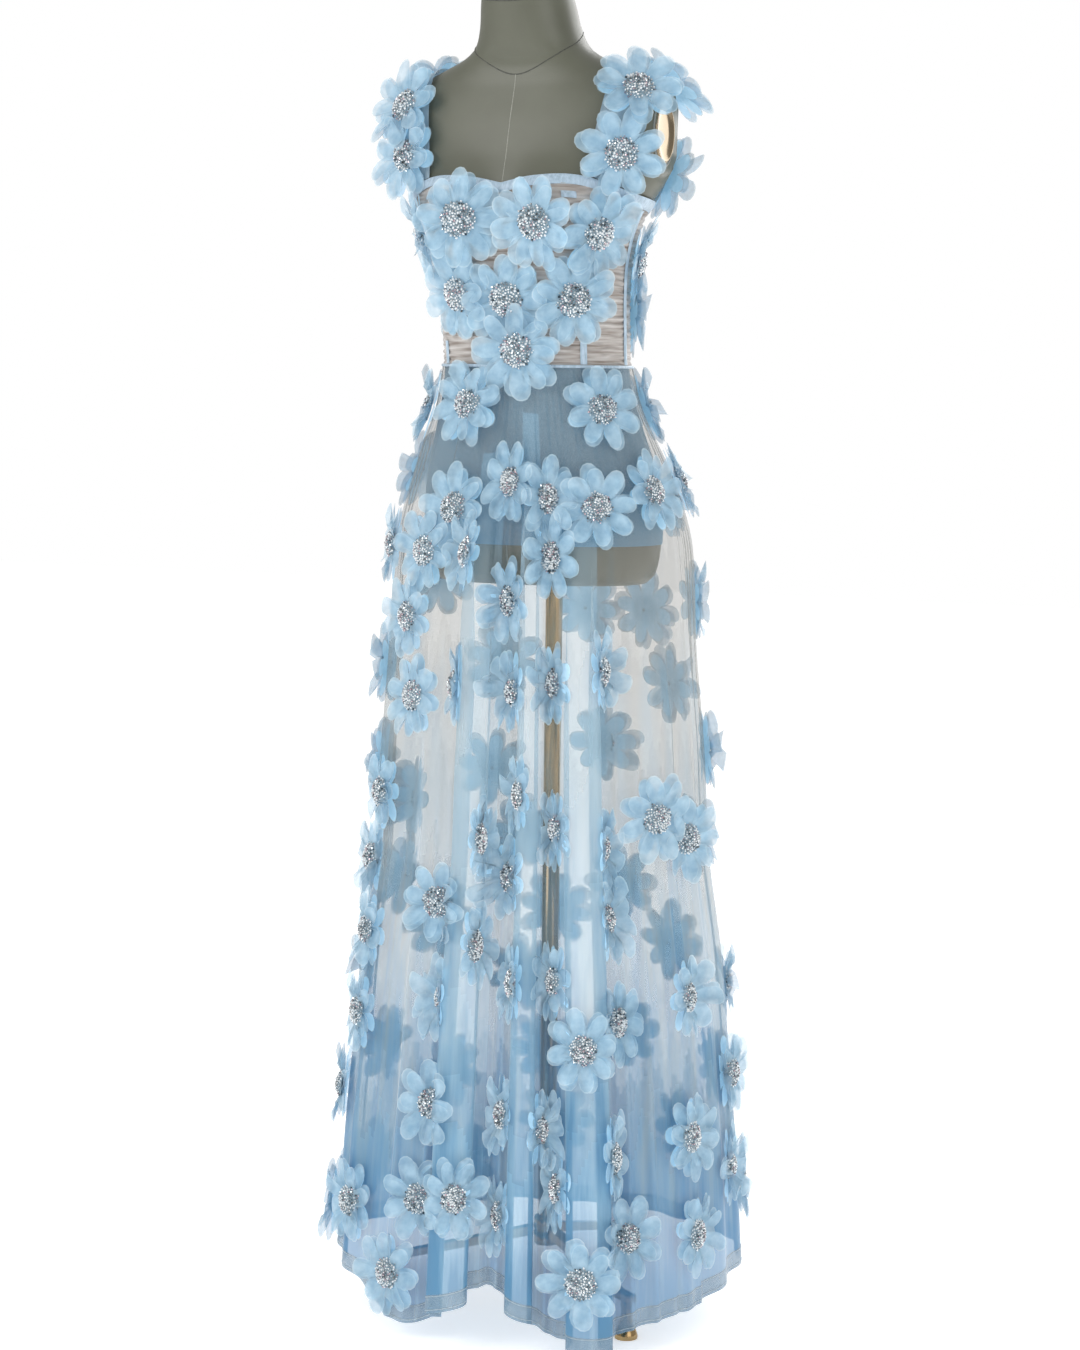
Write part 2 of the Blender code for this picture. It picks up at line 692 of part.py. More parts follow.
def add_bodice(root):
    mesh_cloth = material("ruched_mesh", "#C9B5A4", 0.8)
    satin = material("satin_trim", "#C3D5EA", 0.45)
    heights = form_rings(WAIST, BODICE_NET_TOP)

    def rows_at(angle):
        under_binding = bodice_top(angle) - BINDING_WIDTH
        return [bodice_top(angle), bodice_top(angle) - BINDING_WIDTH / 2, under_binding,
                (under_binding + heights[0]) / 2, *heights, WAIST + SEAM_GAP]

    def flowers_below(angle):
        near_band = SECOND_BAND_ENDS[0] - 4 < abs(angle) < SECOND_BAND_ENDS[1] + 4
        under_binding = bodice_top(angle) - BINDING_WIDTH - FLOWER_EDGE_MARGIN
        return under_binding - (SECOND_BAND_DROP if near_band else 0)

    panels = (("bodice_front", -SIDE_SEAM, SIDE_SEAM), ("bodice_back_left", SIDE_SEAM, 180),
              ("bodice_back_right", -180, -SIDE_SEAM))
    half_gap = math.degrees(SEAM_GAP / 2 / SEAM_RADIUS)
    for name, first, last in panels:
        columns = [a for a in range(first, last + 1, 10)]
        columns[0] += half_gap
        columns[-1] -= half_gap
        layout = Layout(columns, rows_at, form_radius, BODICE_INNER, BODICE_OUTER)
        flowers = [Flower(k, a, z, form_radius) for k, (a, z) in enumerate(BODICE_FLOWERS)
                   if first < a < last]
        field = Field(first, last, BODICE_FLOWER_MARGIN, lambda angle: WAIST + FLOWER_EDGE_MARGIN,
                      flowers_below)
        add_panel(name, mesh_cloth, root, layout, flowers, field)
    trim_in = BODICE_OUTER + TRIM_CLEAR
    trim_out = trim_in + TRIM_THICK
    add_ring("top_binding", satin, root,
             lambda angle: [bodice_top(angle) + SEAM_GAP - BINDING_WIDTH * k / 2 for k in range(3)],
             form_radius, trim_in, trim_out)
    for side, turn in (("left", 1), ("right", -1)):
        add_trims(side, turn, satin, root)


def strip_columns(middle, half_width, height):
    half = math.degrees(half_width / form_radius(middle, height))
    return [middle - half, middle, middle + half]


def add_trims(side, turn, satin, root):
    """Second band, boning channel and side binding of one side."""
    trim_in = BODICE_OUTER + NARROW_TRIM_CLEAR
    trim_out = trim_in + TRIM_THICK
    heights = form_rings(WAIST, BODICE_NET_TOP)
    start, end = sorted(turn * a for a in SECOND_BAND_ENDS)
    band = Layout([start, (start + end) / 2, end],
                  lambda angle: [bodice_top(angle) - SECOND_BAND_DROP,
                                 bodice_top(angle) - SECOND_BAND_DROP - SECOND_BAND_WIDTH],
                  form_radius, trim_in, trim_out)
    add_panel(f"second_band_{side}", satin, root, band)
    low = WAIST + TRIM_END_GAP
    channel = Layout(strip_columns(turn * CHANNEL_ANGLE, CHANNEL_WIDTH / 2, WAIST),
                     lambda angle: [CHANNEL_TOP, (CHANNEL_TOP + low) / 2, low],
                     form_radius, trim_in, trim_out)
    add_panel(f"boning_channel_{side}", satin, root, channel)
    seam = Layout(strip_columns(turn * SIDE_SEAM, CHANNEL_WIDTH / 2, WAIST),
                  lambda angle: [bodice_top(angle) - BINDING_WIDTH - TRIM_END_GAP, *heights, low],
                  form_radius, trim_in, trim_out)
    add_panel(f"side_binding_{side}", satin, root, seam)


def in_form(x, y, z):
    middle = smooth(CENTRE, z)
    angle = math.degrees(math.atan2(x, -(y - middle)))
    return math.hypot(x, y - middle) < form_radius(angle, z)


def over_shoulder(x, turn, out):
    """A point over the shoulder in the upright plane at x, turn degrees up from the front."""
    pivot = Vector((x, smooth(CENTRE, ARM_CENTRE), ARM_CENTRE))
    ray = Vector((0, -math.cos(math.radians(turn)), math.sin(math.radians(turn))))
    near, far = 0.0, 0.2
    for _ in range(40):
        reach = (near + far) / 2
        point = pivot + ray * reach
        near, far = (reach, far) if in_form(*point) else (near, reach)
    return pivot + ray * (near + out), ray


def strap_end(x, first, last):
    """The turn at which a strap meets the bodice's upper edge, between two turns."""
    for _ in range(40):
        middle = (first + last) / 2
        point, _ = over_shoulder(x, middle, STRAP_INNER)
        body_angle = math.degrees(math.atan2(x, -(point.y - smooth(CENTRE, point.z))))
        above = point.z > bodice_top(body_angle) + STRAP_END_GAP
        first, last = (first, middle) if above else (middle, last)
    return last


def strap_point(side, across, along, out):
    """A point of a strap: across from -1 to 1, along from the front neckline to the back."""
    drift = math.sin(math.pi * along)
    middle = STRAP_AT_BODICE + (STRAP_AT_SHOULDER - STRAP_AT_BODICE) * drift
    x = middle + across * STRAP_WIDTH / 2
    front, back = strap_end(x, -75, 20), strap_end(x, 255, 160)
    return over_shoulder(side * x, front + (back - front) * along, out)


def add_strap(name, side, finish, root):
    stations, lanes = STRAP_STATIONS, STRAP_LANES
    points, faces = [], []
    for out in (STRAP_OUTER, STRAP_INNER):
        for s in range(stations):
            points += [strap_point(side, lane, s / (stations - 1), out)[0] for lane in lanes]
    shift, width = stations * len(lanes), len(lanes)

    def quad(a, b, c, d):
        corners = (a, b, c, d) if side > 0 else (d, c, b, a)
        faces.extend([(corners[0], corners[1], corners[2]), (corners[0], corners[2], corners[3])])

    for s in range(stations - 1):
        for k in range(width - 1):
            a = s * width + k
            quad(a, a + 1, a + 1 + width, a + width)
            quad(shift + a + width, shift + a + 1 + width, shift + a + 1, shift + a)
        low, high = s * width, s * width + width - 1
        quad(low + width, shift + low + width, shift + low, low)
        quad(high, shift + high, shift + high + width, high + width)
    for k in range(width - 1):
        last = (stations - 1) * width + k
        quad(k, shift + k, shift + k + 1, k + 1)
        quad(last + 1, shift + last + 1, shift + last, last)
    return add_object(name, points, faces, finish, root)


def add_strap_flower(name, side, along, seat, finish, root):
    """A flower of its own on a strap: a flat star behind, a dome in front."""
    place = strap_point(side, 0.0, along, STRAP_OUTER)[0]
    along_strap = (strap_point(side, 0.0, along + 0.03, STRAP_OUTER)[0]
                   - strap_point(side, 0.0, along - 0.03, STRAP_OUTER)[0]).normalized()
    inner_side = (strap_point(side, -1, along, STRAP_OUTER)[0]
                  - strap_point(side, 1, along, STRAP_OUTER)[0]).normalized()
    normal = along_strap.cross(inner_side).normalized()
    if normal.dot(place - Vector((0, smooth(CENTRE, ARM_CENTRE), ARM_CENTRE - 0.05))) < 0:
        normal = -normal
    across = along_strap.cross(normal).normalized()
    points = []
    spin = along * STRAP_FLOWER_TURN
    star = petal_outline((0, 0), spin, 1)
    for lift in (seat, seat + STRAP_PETAL_THICK):
        points += [place + (across * x + along_strap * y) * STRAP_FLOWER_SCALE + normal * lift
                   for x, y in star]
    for k in range(BEADS_SIDES):
        turn = spin + 2 * math.pi * k / BEADS_SIDES
        reach = BEADS_REACH * STRAP_FLOWER_SCALE
        points.append(place + (across * math.cos(turn) + along_strap * math.sin(turn)) * reach
                      + normal * STRAP_FLOWER_RISE)
    count = 2 * PETALS
    beads = 2 * count
    faces = [tuple(reversed(range(count))), tuple(beads + k for k in range(BEADS_SIDES))]
    for k in range(count):
        after = (k + 1) % count
        faces.append((k, after, count + after, count + k))
    faces += band_between(count, count, beads, BEADS_SIDES)
    return add_object(name, points, faces, finish, root)


def band_between(outer_first, outer_count, inner_first, inner_count):
    """Triangles between two rings with different numbers of points, both starting at the same turn."""
    faces, i, j = [], 0, 0
    while i < outer_count or j < inner_count:
        outer, inner = outer_first + i % outer_count, inner_first + j % inner_count
        if j == inner_count or (i < outer_count and (i + 1) * inner_count <= (j + 1) * outer_count):
            faces.append((outer, outer_first + (i + 1) % outer_count, inner))
            i += 1
        else:
            faces.append((outer, inner_first + (j + 1) % inner_count, inner))
            j += 1
    return faces


def add_straps(root):
    tulle = material("strap_tulle", "#BCD6EC", 0.7)
    petals = material("organza_petals", "#A3C8E2", 0.7)
    for side, turn in (("left", 1), ("right", -1)):
        add_strap(f"strap_{side}", turn, tulle, root)
        for number, (along, seat) in enumerate(STRAP_FLOWERS, 1):
            add_strap_flower(f"strap_flower_{side}_{number}", turn, along, seat, petals, root)


def add_lining(root):
    cloth = material("lining", "#9DB9CC", 0.7)
    heights = form_rings(LINING_HEM, WAIST)
    add_ring("lining_slip", cloth, root, lambda angle: [WAIST - SEAM_GAP, *heights, LINING_HEM],
             form_radius, LINING_INNER, LINING_OUTER)


def add_skirt(root):
    tulle = material("skirt_tulle", "#B9D3E8", 0.7)

    def rows_at(angle):
        low, hem = SKIRT_ROWS[-1], hem_height(angle)
        lower = [low + (hem - low) * k / HEM_ROWS for k in range(1, HEM_ROWS + 1)]
        return [WAIST - SEAM_GAP, *SKIRT_ROWS, *lower]

    panels = [("skirt_front", -30, FRONT_COLUMNS)]
    for name, first in (("skirt_left", 60), ("skirt_back", 150), ("skirt_right", 240)):
        panels.append((name, first, range(first, first + 91, 10)))
    half_gap = math.degrees(SEAM_GAP / 2 / SEAM_RADIUS)
    for name, first, angles in panels:
        columns = list(angles)
        columns[0] += half_gap
        columns[-1] -= half_gap
        layout = Layout(columns, rows_at, skirt_radius, 0.0, SKIRT_WALL)
        flowers = []
        for number, (angle, height) in enumerate(SKIRT_FLOWERS):
            there = first + (angle - first) % 360
            if there < columns[-1]:
                flowers.append(Flower(number, there, height, skirt_radius))
        field = Field(columns[0], columns[-1], SKIRT_FLOWER_MARGIN,
                      lambda angle: hem_height(angle) + FLOWER_EDGE_MARGIN,
                      lambda angle: WAIST - FLOWER_EDGE_MARGIN)
        add_panel(name, tulle, root, layout, flowers, field)


def stand_on_origin(root):
    """Moves everything so that the middle of its box's underside is at the origin."""
    bpy.context.view_layer.update()
    corners = [thing.matrix_world @ vertex.co for thing in bpy.data.objects if thing.type == "MESH"
               for vertex in thing.data.vertices]
    low = [min(c[k] for c in corners) for k in range(3)]
    high = [max(c[k] for c in corners) for k in range(3)]
    root.location = (-(low[0] + high[0]) / 2, -(low[1] + high[1]) / 2, FLOOR - low[2])


def main():
    clear_scene()
    root = bpy.data.objects.new("gown_on_form", None)
    bpy.context.scene.collection.objects.link(root)
    add_form(root)
    add_stand(root)
    add_bodice(root)
    add_straps(root)
    add_lining(root)
    add_skirt(root)
    stand_on_origin(root)


main()
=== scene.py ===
"""The looks of a sheer tulle evening gown with raised organza flowers, on its limbless dress form and stand.

Angles are in degrees round the body: 0 is the centre front, 90 the gown's left side, 180 the centre back.
"""

import bisect
import json
import math
import random

import bpy
from mathutils import Matrix, Vector

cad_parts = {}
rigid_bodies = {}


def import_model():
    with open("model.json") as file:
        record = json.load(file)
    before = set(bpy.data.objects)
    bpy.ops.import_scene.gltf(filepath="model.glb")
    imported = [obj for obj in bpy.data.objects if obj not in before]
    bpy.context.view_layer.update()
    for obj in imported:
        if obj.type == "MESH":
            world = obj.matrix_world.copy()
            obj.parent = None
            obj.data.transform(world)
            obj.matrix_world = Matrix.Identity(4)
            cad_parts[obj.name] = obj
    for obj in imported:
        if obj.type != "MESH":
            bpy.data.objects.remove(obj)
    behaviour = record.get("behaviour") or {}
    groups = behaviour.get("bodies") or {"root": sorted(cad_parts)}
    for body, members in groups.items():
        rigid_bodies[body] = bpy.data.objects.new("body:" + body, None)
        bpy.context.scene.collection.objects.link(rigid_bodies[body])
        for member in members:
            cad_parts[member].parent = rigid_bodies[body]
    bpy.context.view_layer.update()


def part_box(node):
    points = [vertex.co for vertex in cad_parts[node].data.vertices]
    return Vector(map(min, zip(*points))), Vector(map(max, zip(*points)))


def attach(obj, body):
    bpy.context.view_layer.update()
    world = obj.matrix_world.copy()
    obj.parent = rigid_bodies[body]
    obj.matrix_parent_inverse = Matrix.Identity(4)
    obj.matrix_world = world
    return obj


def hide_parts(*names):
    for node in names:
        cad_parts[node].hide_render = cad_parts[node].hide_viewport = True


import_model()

# The dress form: a hard limbless torso under a tight cover of grey leatherette, which is coated cloth
# embossed with a fine grain. It is one smooth round body, with a neck and no arms, set on a pole.
def below(node):
    """The point of the floor below the middle of a node."""
    low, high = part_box(node)
    return Vector(((low[0] + high[0]) / 2, (low[1] + high[1]) / 2, 0))


AXIS = below("pole")
FORM_BOTTOM, NECK_TOP = 0.907, 1.648

# Middle of each section along Y (height, centre)
BODY_MIDDLE = (
    (0.000, -0.025), (0.450, -0.027), (0.700, -0.030), (0.907, -0.032), (0.995, -0.035),
    (1.040, -0.040), (1.090, -0.048), (1.130, -0.053), (1.170, -0.056), (1.250, -0.064),
    (1.320, -0.071), (1.350, -0.073), (1.420, -0.071), (1.500, -0.067), (1.523, -0.071),
    (1.545, -0.079), (1.595, -0.093), (1.648, -0.107),
)
# Form sections (height, half width, front depth, back depth)
FORM_SECTIONS = (
    (0.907, 0.130, 0.090, 0.087),
    (0.918, 0.141, 0.099, 0.095),
    (0.950, 0.148, 0.104, 0.101),
    (0.995, 0.149, 0.105, 0.103),
    (1.040, 0.143, 0.102, 0.101),
    (1.090, 0.129, 0.095, 0.094),
    (1.130, 0.118, 0.091, 0.087),
    (1.170, 0.1125, 0.088, 0.083),
    (1.210, 0.1125, 0.090, 0.083),
    (1.250, 0.1135, 0.093, 0.085),
    (1.290, 0.117, 0.096, 0.088),
    (1.320, 0.124, 0.096, 0.091),
    (1.335, 0.130, 0.095, 0.093),
    (1.350, 0.137, 0.093, 0.095),
    (1.370, 0.152, 0.0895, 0.097),
    (1.390, 0.166, 0.086, 0.098),
    (1.420, 0.182, 0.079, 0.098),
    (1.460, 0.186, 0.072, 0.094),
    (1.485, 0.182, 0.066, 0.088),
    (1.500, 0.165, 0.062, 0.083),
    (1.512, 0.141, 0.059, 0.077),
    (1.523, 0.115, 0.056, 0.070),
    (1.533, 0.090, 0.055, 0.064),
    (1.545, 0.0715, 0.056, 0.060),
    (1.565, 0.0615, 0.056, 0.057),
    (1.595, 0.0560, 0.054, 0.055),
    (1.620, 0.0520, 0.051, 0.052),
    (1.648, 0.0495, 0.049, 0.050),
)
FORM_ROUNDNESS = 2.2
BUST_HEIGHT, BUST_ANGLE, BUST_SPREAD, BUST_REACH, BUST_DEPTH = 1.345, 34, 19, 0.045, 0.030
ARMHOLE_PLANE = 0.166


def soft_curve(pairs, x):
    """A soft curve through (x, value) pairs in rising order, level past its ends."""
    if x <= pairs[0][0]:
        return pairs[0][1]
    if x >= pairs[-1][0]:
        return pairs[-1][1]
    k = bisect.bisect_right(pairs, (x, 1e9)) - 1

    def slope(i):
        before, after = max(i - 1, 0), min(i + 1, len(pairs) - 1)
        return (pairs[after][1] - pairs[before][1]) / (pairs[after][0] - pairs[before][0])

    (x0, y0), (x1, y1) = pairs[k], pairs[k + 1]
    step = x1 - x0
    t = (x - x0) / step
    rise = 3 * t**2 - 2 * t**3
    bend = slope(k) * t * (1 - t) ** 2 - slope(k + 1) * t**2 * (1 - t)
    return y0 + (y1 - y0) * rise + bend * step


def turned(angle):
    """The angle brought between -180 and 180 degrees."""
    return (angle + 180) % 360 - 180


def ease(t):
    t = min(max(t, 0.0), 1.0)
    return t * t * (3 - 2 * t)


def outward(angle):
    return Vector((math.sin(math.radians(angle)), -math.cos(math.radians(angle)), 0))


def body_middle(height):
    return AXIS + Vector((0, soft_curve(BODY_MIDDLE, height), height))


def on_body(radius, angle, height, out=0.0):
    """The point at this angle and height, out past a radius function."""
    return body_middle(height) + outward(angle) * (radius(angle, height) + out)


def curves_of(sections):
    return [tuple((row[0], row[k]) for row in sections) for k in (1, 2, 3)]


def section_reach(curves, roundness, angle, height):
    width, front, back = (soft_curve(curve, height) for curve in curves)
    across, along = abs(math.sin(math.radians(angle))), math.cos(math.radians(angle))
    depth = front if along > 0 else back
    return ((across / width) ** roundness + (abs(along) / depth) ** roundness) ** (-1 / roundness)


FORM_CURVES = curves_of(FORM_SECTIONS)


def form_radius(angle, height):
    reach = section_reach(FORM_CURVES, FORM_ROUNDNESS, angle, height)
    rise = (height - BUST_HEIGHT) / BUST_REACH
    for side in (-1, 1):
        turn = turned(angle - side * BUST_ANGLE) / BUST_SPREAD
        reach += BUST_DEPTH * math.exp(-(turn**2) - rise**2)
    across = abs(math.sin(math.radians(angle)))
    return min(reach, ARMHOLE_PLANE / across) if across > 0.1 else reach


def srgb(code):
    """Linear colour of an sRGB hex code."""
    channels = [int(code[k : k + 2], 16) / 255 for k in (1, 3, 5)]
    return (*(c / 12.92 if c < 0.04045 else ((c + 0.055) / 1.055) ** 2.4 for c in channels), 1.0)


def add_node(tree, kind, settings=(), links=()):
    """A new node, with its settings by socket or property name, and its links as (output, input name)."""
    node = tree.nodes.new(kind)
    for key, value in dict(settings).items():
        if key in node.inputs:
            node.inputs[key].default_value = value
        else:
            setattr(node, key, value)
    for source, name in links:
        tree.links.new(source, node.inputs[name])
    return node


def new_finish(name, settings):
    """A material with one Principled shader, and that shader."""
    finish = bpy.data.materials.new(name)
    finish.use_nodes = True
    shader = finish.node_tree.nodes["Principled BSDF"]
    for key, value in settings.items():
        shader.inputs[key].default_value = value
    return finish, shader


def add_piece(name, points, faces, finishes, slot=None, face_finishes=None, flat=False):
    """A mesh that rides on the body, in one finish or in several by face."""
    mesh = bpy.data.meshes.new(name)
    mesh.from_pydata([tuple(p) for p in points], [], faces)
    for finish in finishes if isinstance(finishes, (list, tuple)) else [finishes]:
        mesh.materials.append(finish)
    if face_finishes:
        mesh.polygons.foreach_set("material_index", face_finishes)
    if not flat:
        mesh.shade_smooth()
    thing = bpy.data.objects.new(name, mesh)
    bpy.context.scene.collection.objects.link(thing)
    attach(thing, "root")
    return thing


def grid_faces(columns, rows, closed):
    """Quads of a grid whose points run down each column in turn, facing out from the body."""
    faces = []
    for i in range(columns if closed else columns - 1):
        here, there = i * rows, (i + 1) % columns * rows
        faces += [(here + j + 1, there + j + 1, there + j, here + j) for j in range(rows - 1)]
    return faces


def between(first, last, count):
    """Evenly spaced values, both ends among them."""
    return [first + (last - first) * k / (count - 1) for k in range(count)]


def all_round(count):
    """Evenly spaced angles round the body, from the centre back."""
    return between(-180, 180, count + 1)[:-1]


# Leatherette: PU-coated cloth, embossed. It has a soft sheen and a grain of cells about 1 mm wide.
leatherette, shader = new_finish("leatherette", {
    "Roughness": 0.42, "Specular IOR Level": 0.5, "Coat Weight": 0.12, "Coat Roughness": 0.3,
})
tree = leatherette.node_tree
where = add_node(tree, "ShaderNodeTexCoord")
GRAIN_MM, CLOUD_MM = 1.1, 60
grain = add_node(tree, "ShaderNodeTexVoronoi", {"Scale": 1000 / GRAIN_MM, "feature": "SMOOTH_F1"},
                 [(where.outputs["Object"], "Vector")])
cloud = add_node(tree, "ShaderNodeTexNoise", {"Scale": 1000 / CLOUD_MM, "Detail": 3.0},
                 [(where.outputs["Object"], "Vector")])
shades = add_node(tree, "ShaderNodeValToRGB", {}, [(cloud.outputs["Fac"], "Fac")])
shades.color_ramp.elements[0].color = srgb("#525346")
shades.color_ramp.elements[1].color = srgb("#606254")
tree.links.new(shades.outputs["Color"], shader.inputs["Base Color"])
bump = add_node(tree, "ShaderNodeBump", {"Strength": 0.12, "Distance": 0.0003},
                [(grain.outputs["Distance"], "Height")])
tree.links.new(bump.outputs["Normal"], shader.inputs["Normal"])

FORM_COLUMNS, FORM_ROWS = 120, 150
angles = all_round(FORM_COLUMNS)
heights = between(NECK_TOP, FORM_BOTTOM, FORM_ROWS)
points = [on_body(form_radius, angle, height) for angle in angles for height in heights]
faces = grid_faces(len(angles), len(heights), True)
faces.append(tuple(len(heights) * i for i in range(len(angles))))
faces.append(tuple(len(heights) * i + len(heights) - 1 for i in reversed(range(len(angles)))))
torso = add_piece("torso_cover", points, faces, leatherette, "form_cover")
torso.data.set_sharp_from_angle(angle=math.radians(50))
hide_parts("form_torso")

# The neck's end: a flat cap set on the neck. It is covered with the same leatherette, which is turned over
# its rounded edge.
cap_low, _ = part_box("neck_cap")
cap_middle = below("neck_cap") + Vector((0, 0, cap_low[2]))
CAP_RADIUS = 0.0475
CAP_PROFILE = ((0.0, 0.0), (0.0460, 0.0), (CAP_RADIUS, 0.0010), (CAP_RADIUS + 0.0004, 0.0040),
               (CAP_RADIUS, 0.0075), (0.0455, 0.0102), (0.0400, 0.0113), (0.0, 0.0115))


def lathe(profile, middle, count, stretch=(1, 1), tilt=None):
    """Points and faces of a turned solid from (radius, height) pairs, closed on its axis at both ends."""
    points, faces, rings = [], [], []
    for radius, height in profile:
        ring = []
        for k in range(count if radius > 0 else 1):
            turn = 2 * math.pi * k / count
            place = Vector((radius * stretch[0] * math.cos(turn), radius * stretch[1] * math.sin(turn),
                            height))
            ring.append(len(points))
            points.append(middle + (tilt @ place if tilt else place))
        rings.append(ring)
    for low, high in zip(rings, rings[1:]):
        for k in range(count):
            after = (k + 1) % count
            corners = (low[k % len(low)], low[after % len(low)], high[after % len(high)], high[k % len(high)])
            faces.append(tuple(dict.fromkeys(corners)))
    return points, faces


points, faces = lathe(CAP_PROFILE, cap_middle, 64)
cap = add_piece("neck_cap_cover", points, faces, leatherette, "form_cover")
cap.data.set_sharp_from_angle(angle=math.radians(60))
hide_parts("neck_cap")

# Seams of the cover: sewn down the centre front and back, round the base of the neck and round its top.
# The upright ones are pressed open and stretched, so they catch the light, which is painted on them as a
# paler colour; the round ones sink into a groove, whose shade is painted on them as a darker colour.
def mottled(finish, shader, dark, pale, size_mm, stretch=(1, 1, 1), bump=0.0):
    """Soft patches of two shades in a finish, size_mm across, with a slight relief of the same patches."""
    tree = finish.node_tree
    where = add_node(tree, "ShaderNodeTexCoord")
    placed = add_node(tree, "ShaderNodeMapping", {"Scale": stretch}, [(where.outputs["Object"], "Vector")])
    cloud = add_node(tree, "ShaderNodeTexNoise", {"Scale": 1000 / size_mm, "Detail": 3.0},
                     [(placed.outputs["Vector"], "Vector")])
    shades = add_node(tree, "ShaderNodeValToRGB", {}, [(cloud.outputs["Fac"], "Fac")])
    shades.color_ramp.elements[0].position, shades.color_ramp.elements[0].color = 0.3, srgb(dark)
    shades.color_ramp.elements[1].position, shades.color_ramp.elements[1].color = 0.7, srgb(pale)
    tree.links.new(shades.outputs["Color"], shader.inputs["Base Color"])
    if bump:
        relief = add_node(tree, "ShaderNodeBump", {"Strength": 0.3, "Distance": bump},
                          [(cloud.outputs["Fac"], "Height")])
        tree.links.new(relief.outputs["Normal"], shader.inputs["Normal"])


STITCH_MM = 3.0
# Painted highlight: the upright seams are coloured paler than the cover.
seam_painted_highlight, shader = new_finish("cover_seam_painted_highlight", {"Roughness": 0.55})
mottled(seam_painted_highlight, shader, "#83847A", "#9B9C92", STITCH_MM, bump=0.0003)
# Painted shade: the round seams are coloured darker, as if in a groove.
seam_painted_groove_shade, shader = new_finish("cover_seam_painted_shade", {"Roughness": 0.7})
mottled(seam_painted_groove_shade, shader, "#3E3F39", "#55564F", STITCH_MM, bump=0.0003)
# Heights of the two round seams (angle, height)
NECK_SEAM = ((-65, 1.545), (0, 1.512), (65, 1.545), (115, 1.566), (180, 1.573), (245, 1.566), (295, 1.545))
COLLAR_SEAM = ((-90, 1.607), (0, 1.596), (90, 1.607), (180, 1.612), (270, 1.607))
SEAM_HALF, SEAM_RISE, SEAM_LIFT, SEAM_HEM = 0.0007, 0.0005, 0.0002, 0.012
# Section of a seam, as parts of its half width and its rise (across, out)
SEAM_PROFILE = ((-1, -0.3), (-0.5, 0.8), (0.5, 0.8), (1, -0.3))


def neck_seam(angle):
    return soft_curve(NECK_SEAM, (angle + 65) % 360 - 65)


def collar_seam(angle):
    return soft_curve(COLLAR_SEAM, (angle + 90) % 360 - 90)


def ridge(path, closed=False):
    """Points and faces of a low raised line; path gives (point, sideways, outward) at each station."""
    points, faces = [], []
    for place, sideways, out in path:
        for across, rise in SEAM_PROFILE:
            points.append(place + sideways * SEAM_HALF * across + out * SEAM_RISE * rise)
    count, wide = len(path), len(SEAM_PROFILE)
    for s in range(count if closed else count - 1):
        here, there = wide * s, wide * ((s + 1) % count)
        faces += [(here + k, here + k + 1, there + k + 1, there + k) for k in range(wide - 1)]
    return points, faces


for name, angle, top in (("front_seam", 0, neck_seam(0)), ("back_seam", 180, neck_seam(180))):
    sideways = outward(angle + 90)
    line = ridge([(on_body(form_radius, angle, z, SEAM_LIFT), sideways, outward(angle))
                  for z in between(top, FORM_BOTTOM + SEAM_HEM, 120)])
    add_piece(name, *line, seam_painted_highlight, "form_cover")
for name, seam_at in (("neck_seam", neck_seam), ("collar_seam", collar_seam)):
    line = ridge([(on_body(form_radius, angle, seam_at(angle), SEAM_LIFT), Vector((0, 0, 1)), outward(angle))
                  for angle in all_round(FORM_COLUMNS)], closed=True)
    add_piece(name, *line, seam_painted_groove_shade, "form_cover")

# Armhole plates: an oval dished metal disc with a rolled rim closes each armhole, over a grey felt edge.
# It is pressed from steel, plated in pale champagne, lacquered and polished, so it mirrors the room.
SIDES = (("left", 1), ("right", -1))
gold, shader = new_finish("champagne_plate", {
    "Base Color": srgb("#8C7D66"), "Metallic": 1.0, "Roughness": 0.14,
})
tree = gold.node_tree
where = add_node(tree, "ShaderNodeTexCoord")
SMEAR_MM = 25
smears = add_node(tree, "ShaderNodeTexNoise", {"Scale": 1000 / SMEAR_MM, "Detail": 4.0},
                  [(where.outputs["Object"], "Vector")])
rub = add_node(tree, "ShaderNodeMapRange", {"To Min": 0.10, "To Max": 0.22},
               [(smears.outputs["Fac"], "Value")])
tree.links.new(rub.outputs["Result"], shader.inputs["Roughness"])
# Felt is pressed fibre: dull and a little cloudy, with a pale bloom at a flat angle.
felt_edge, shader = new_finish("felt_edge", {"Roughness": 0.9, "Sheen Weight": 0.3})
FELT_FIBRE_MM = 0.8
mottled(felt_edge, shader, "#6F706A", "#8F908A", FELT_FIBRE_MM, bump=0.0004)
DISH = ((0.0, 0.0006), (0.014, 0.0004), (0.021, 0.0012), (0.0245, 0.0030), (0.0262, 0.0036),
        (0.0275, 0.0030), (0.0280, 0.0012), (0.0278, 0.0))
EDGE = ((0.0278, 0.0), (0.0282, 0.0014), (0.0296, 0.0020), (0.0308, 0.0014), (0.0312, 0.0))
OVAL, PLATE_COLUMNS = (1.35, 1), 56
for side, turn in SIDES:
    low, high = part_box(f"arm_plate_{side}")
    inner_x = low[0] if turn > 0 else high[0]
    middle = Vector((inner_x, (low[1] + high[1]) / 2, (low[2] + high[2]) / 2))
    tilt = Matrix.Rotation(turn * math.pi / 2, 3, "Y")
    dish = lathe(DISH, middle, PLATE_COLUMNS, OVAL, tilt)
    dish = add_piece(f"armhole_dish_{side}", *dish, gold, "polished_gold")
    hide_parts(f"arm_plate_{side}")
    edge = lathe(EDGE, middle, PLATE_COLUMNS, OVAL, tilt)
    add_piece(f"armhole_felt_{side}", *edge, felt_edge, "form_cover")

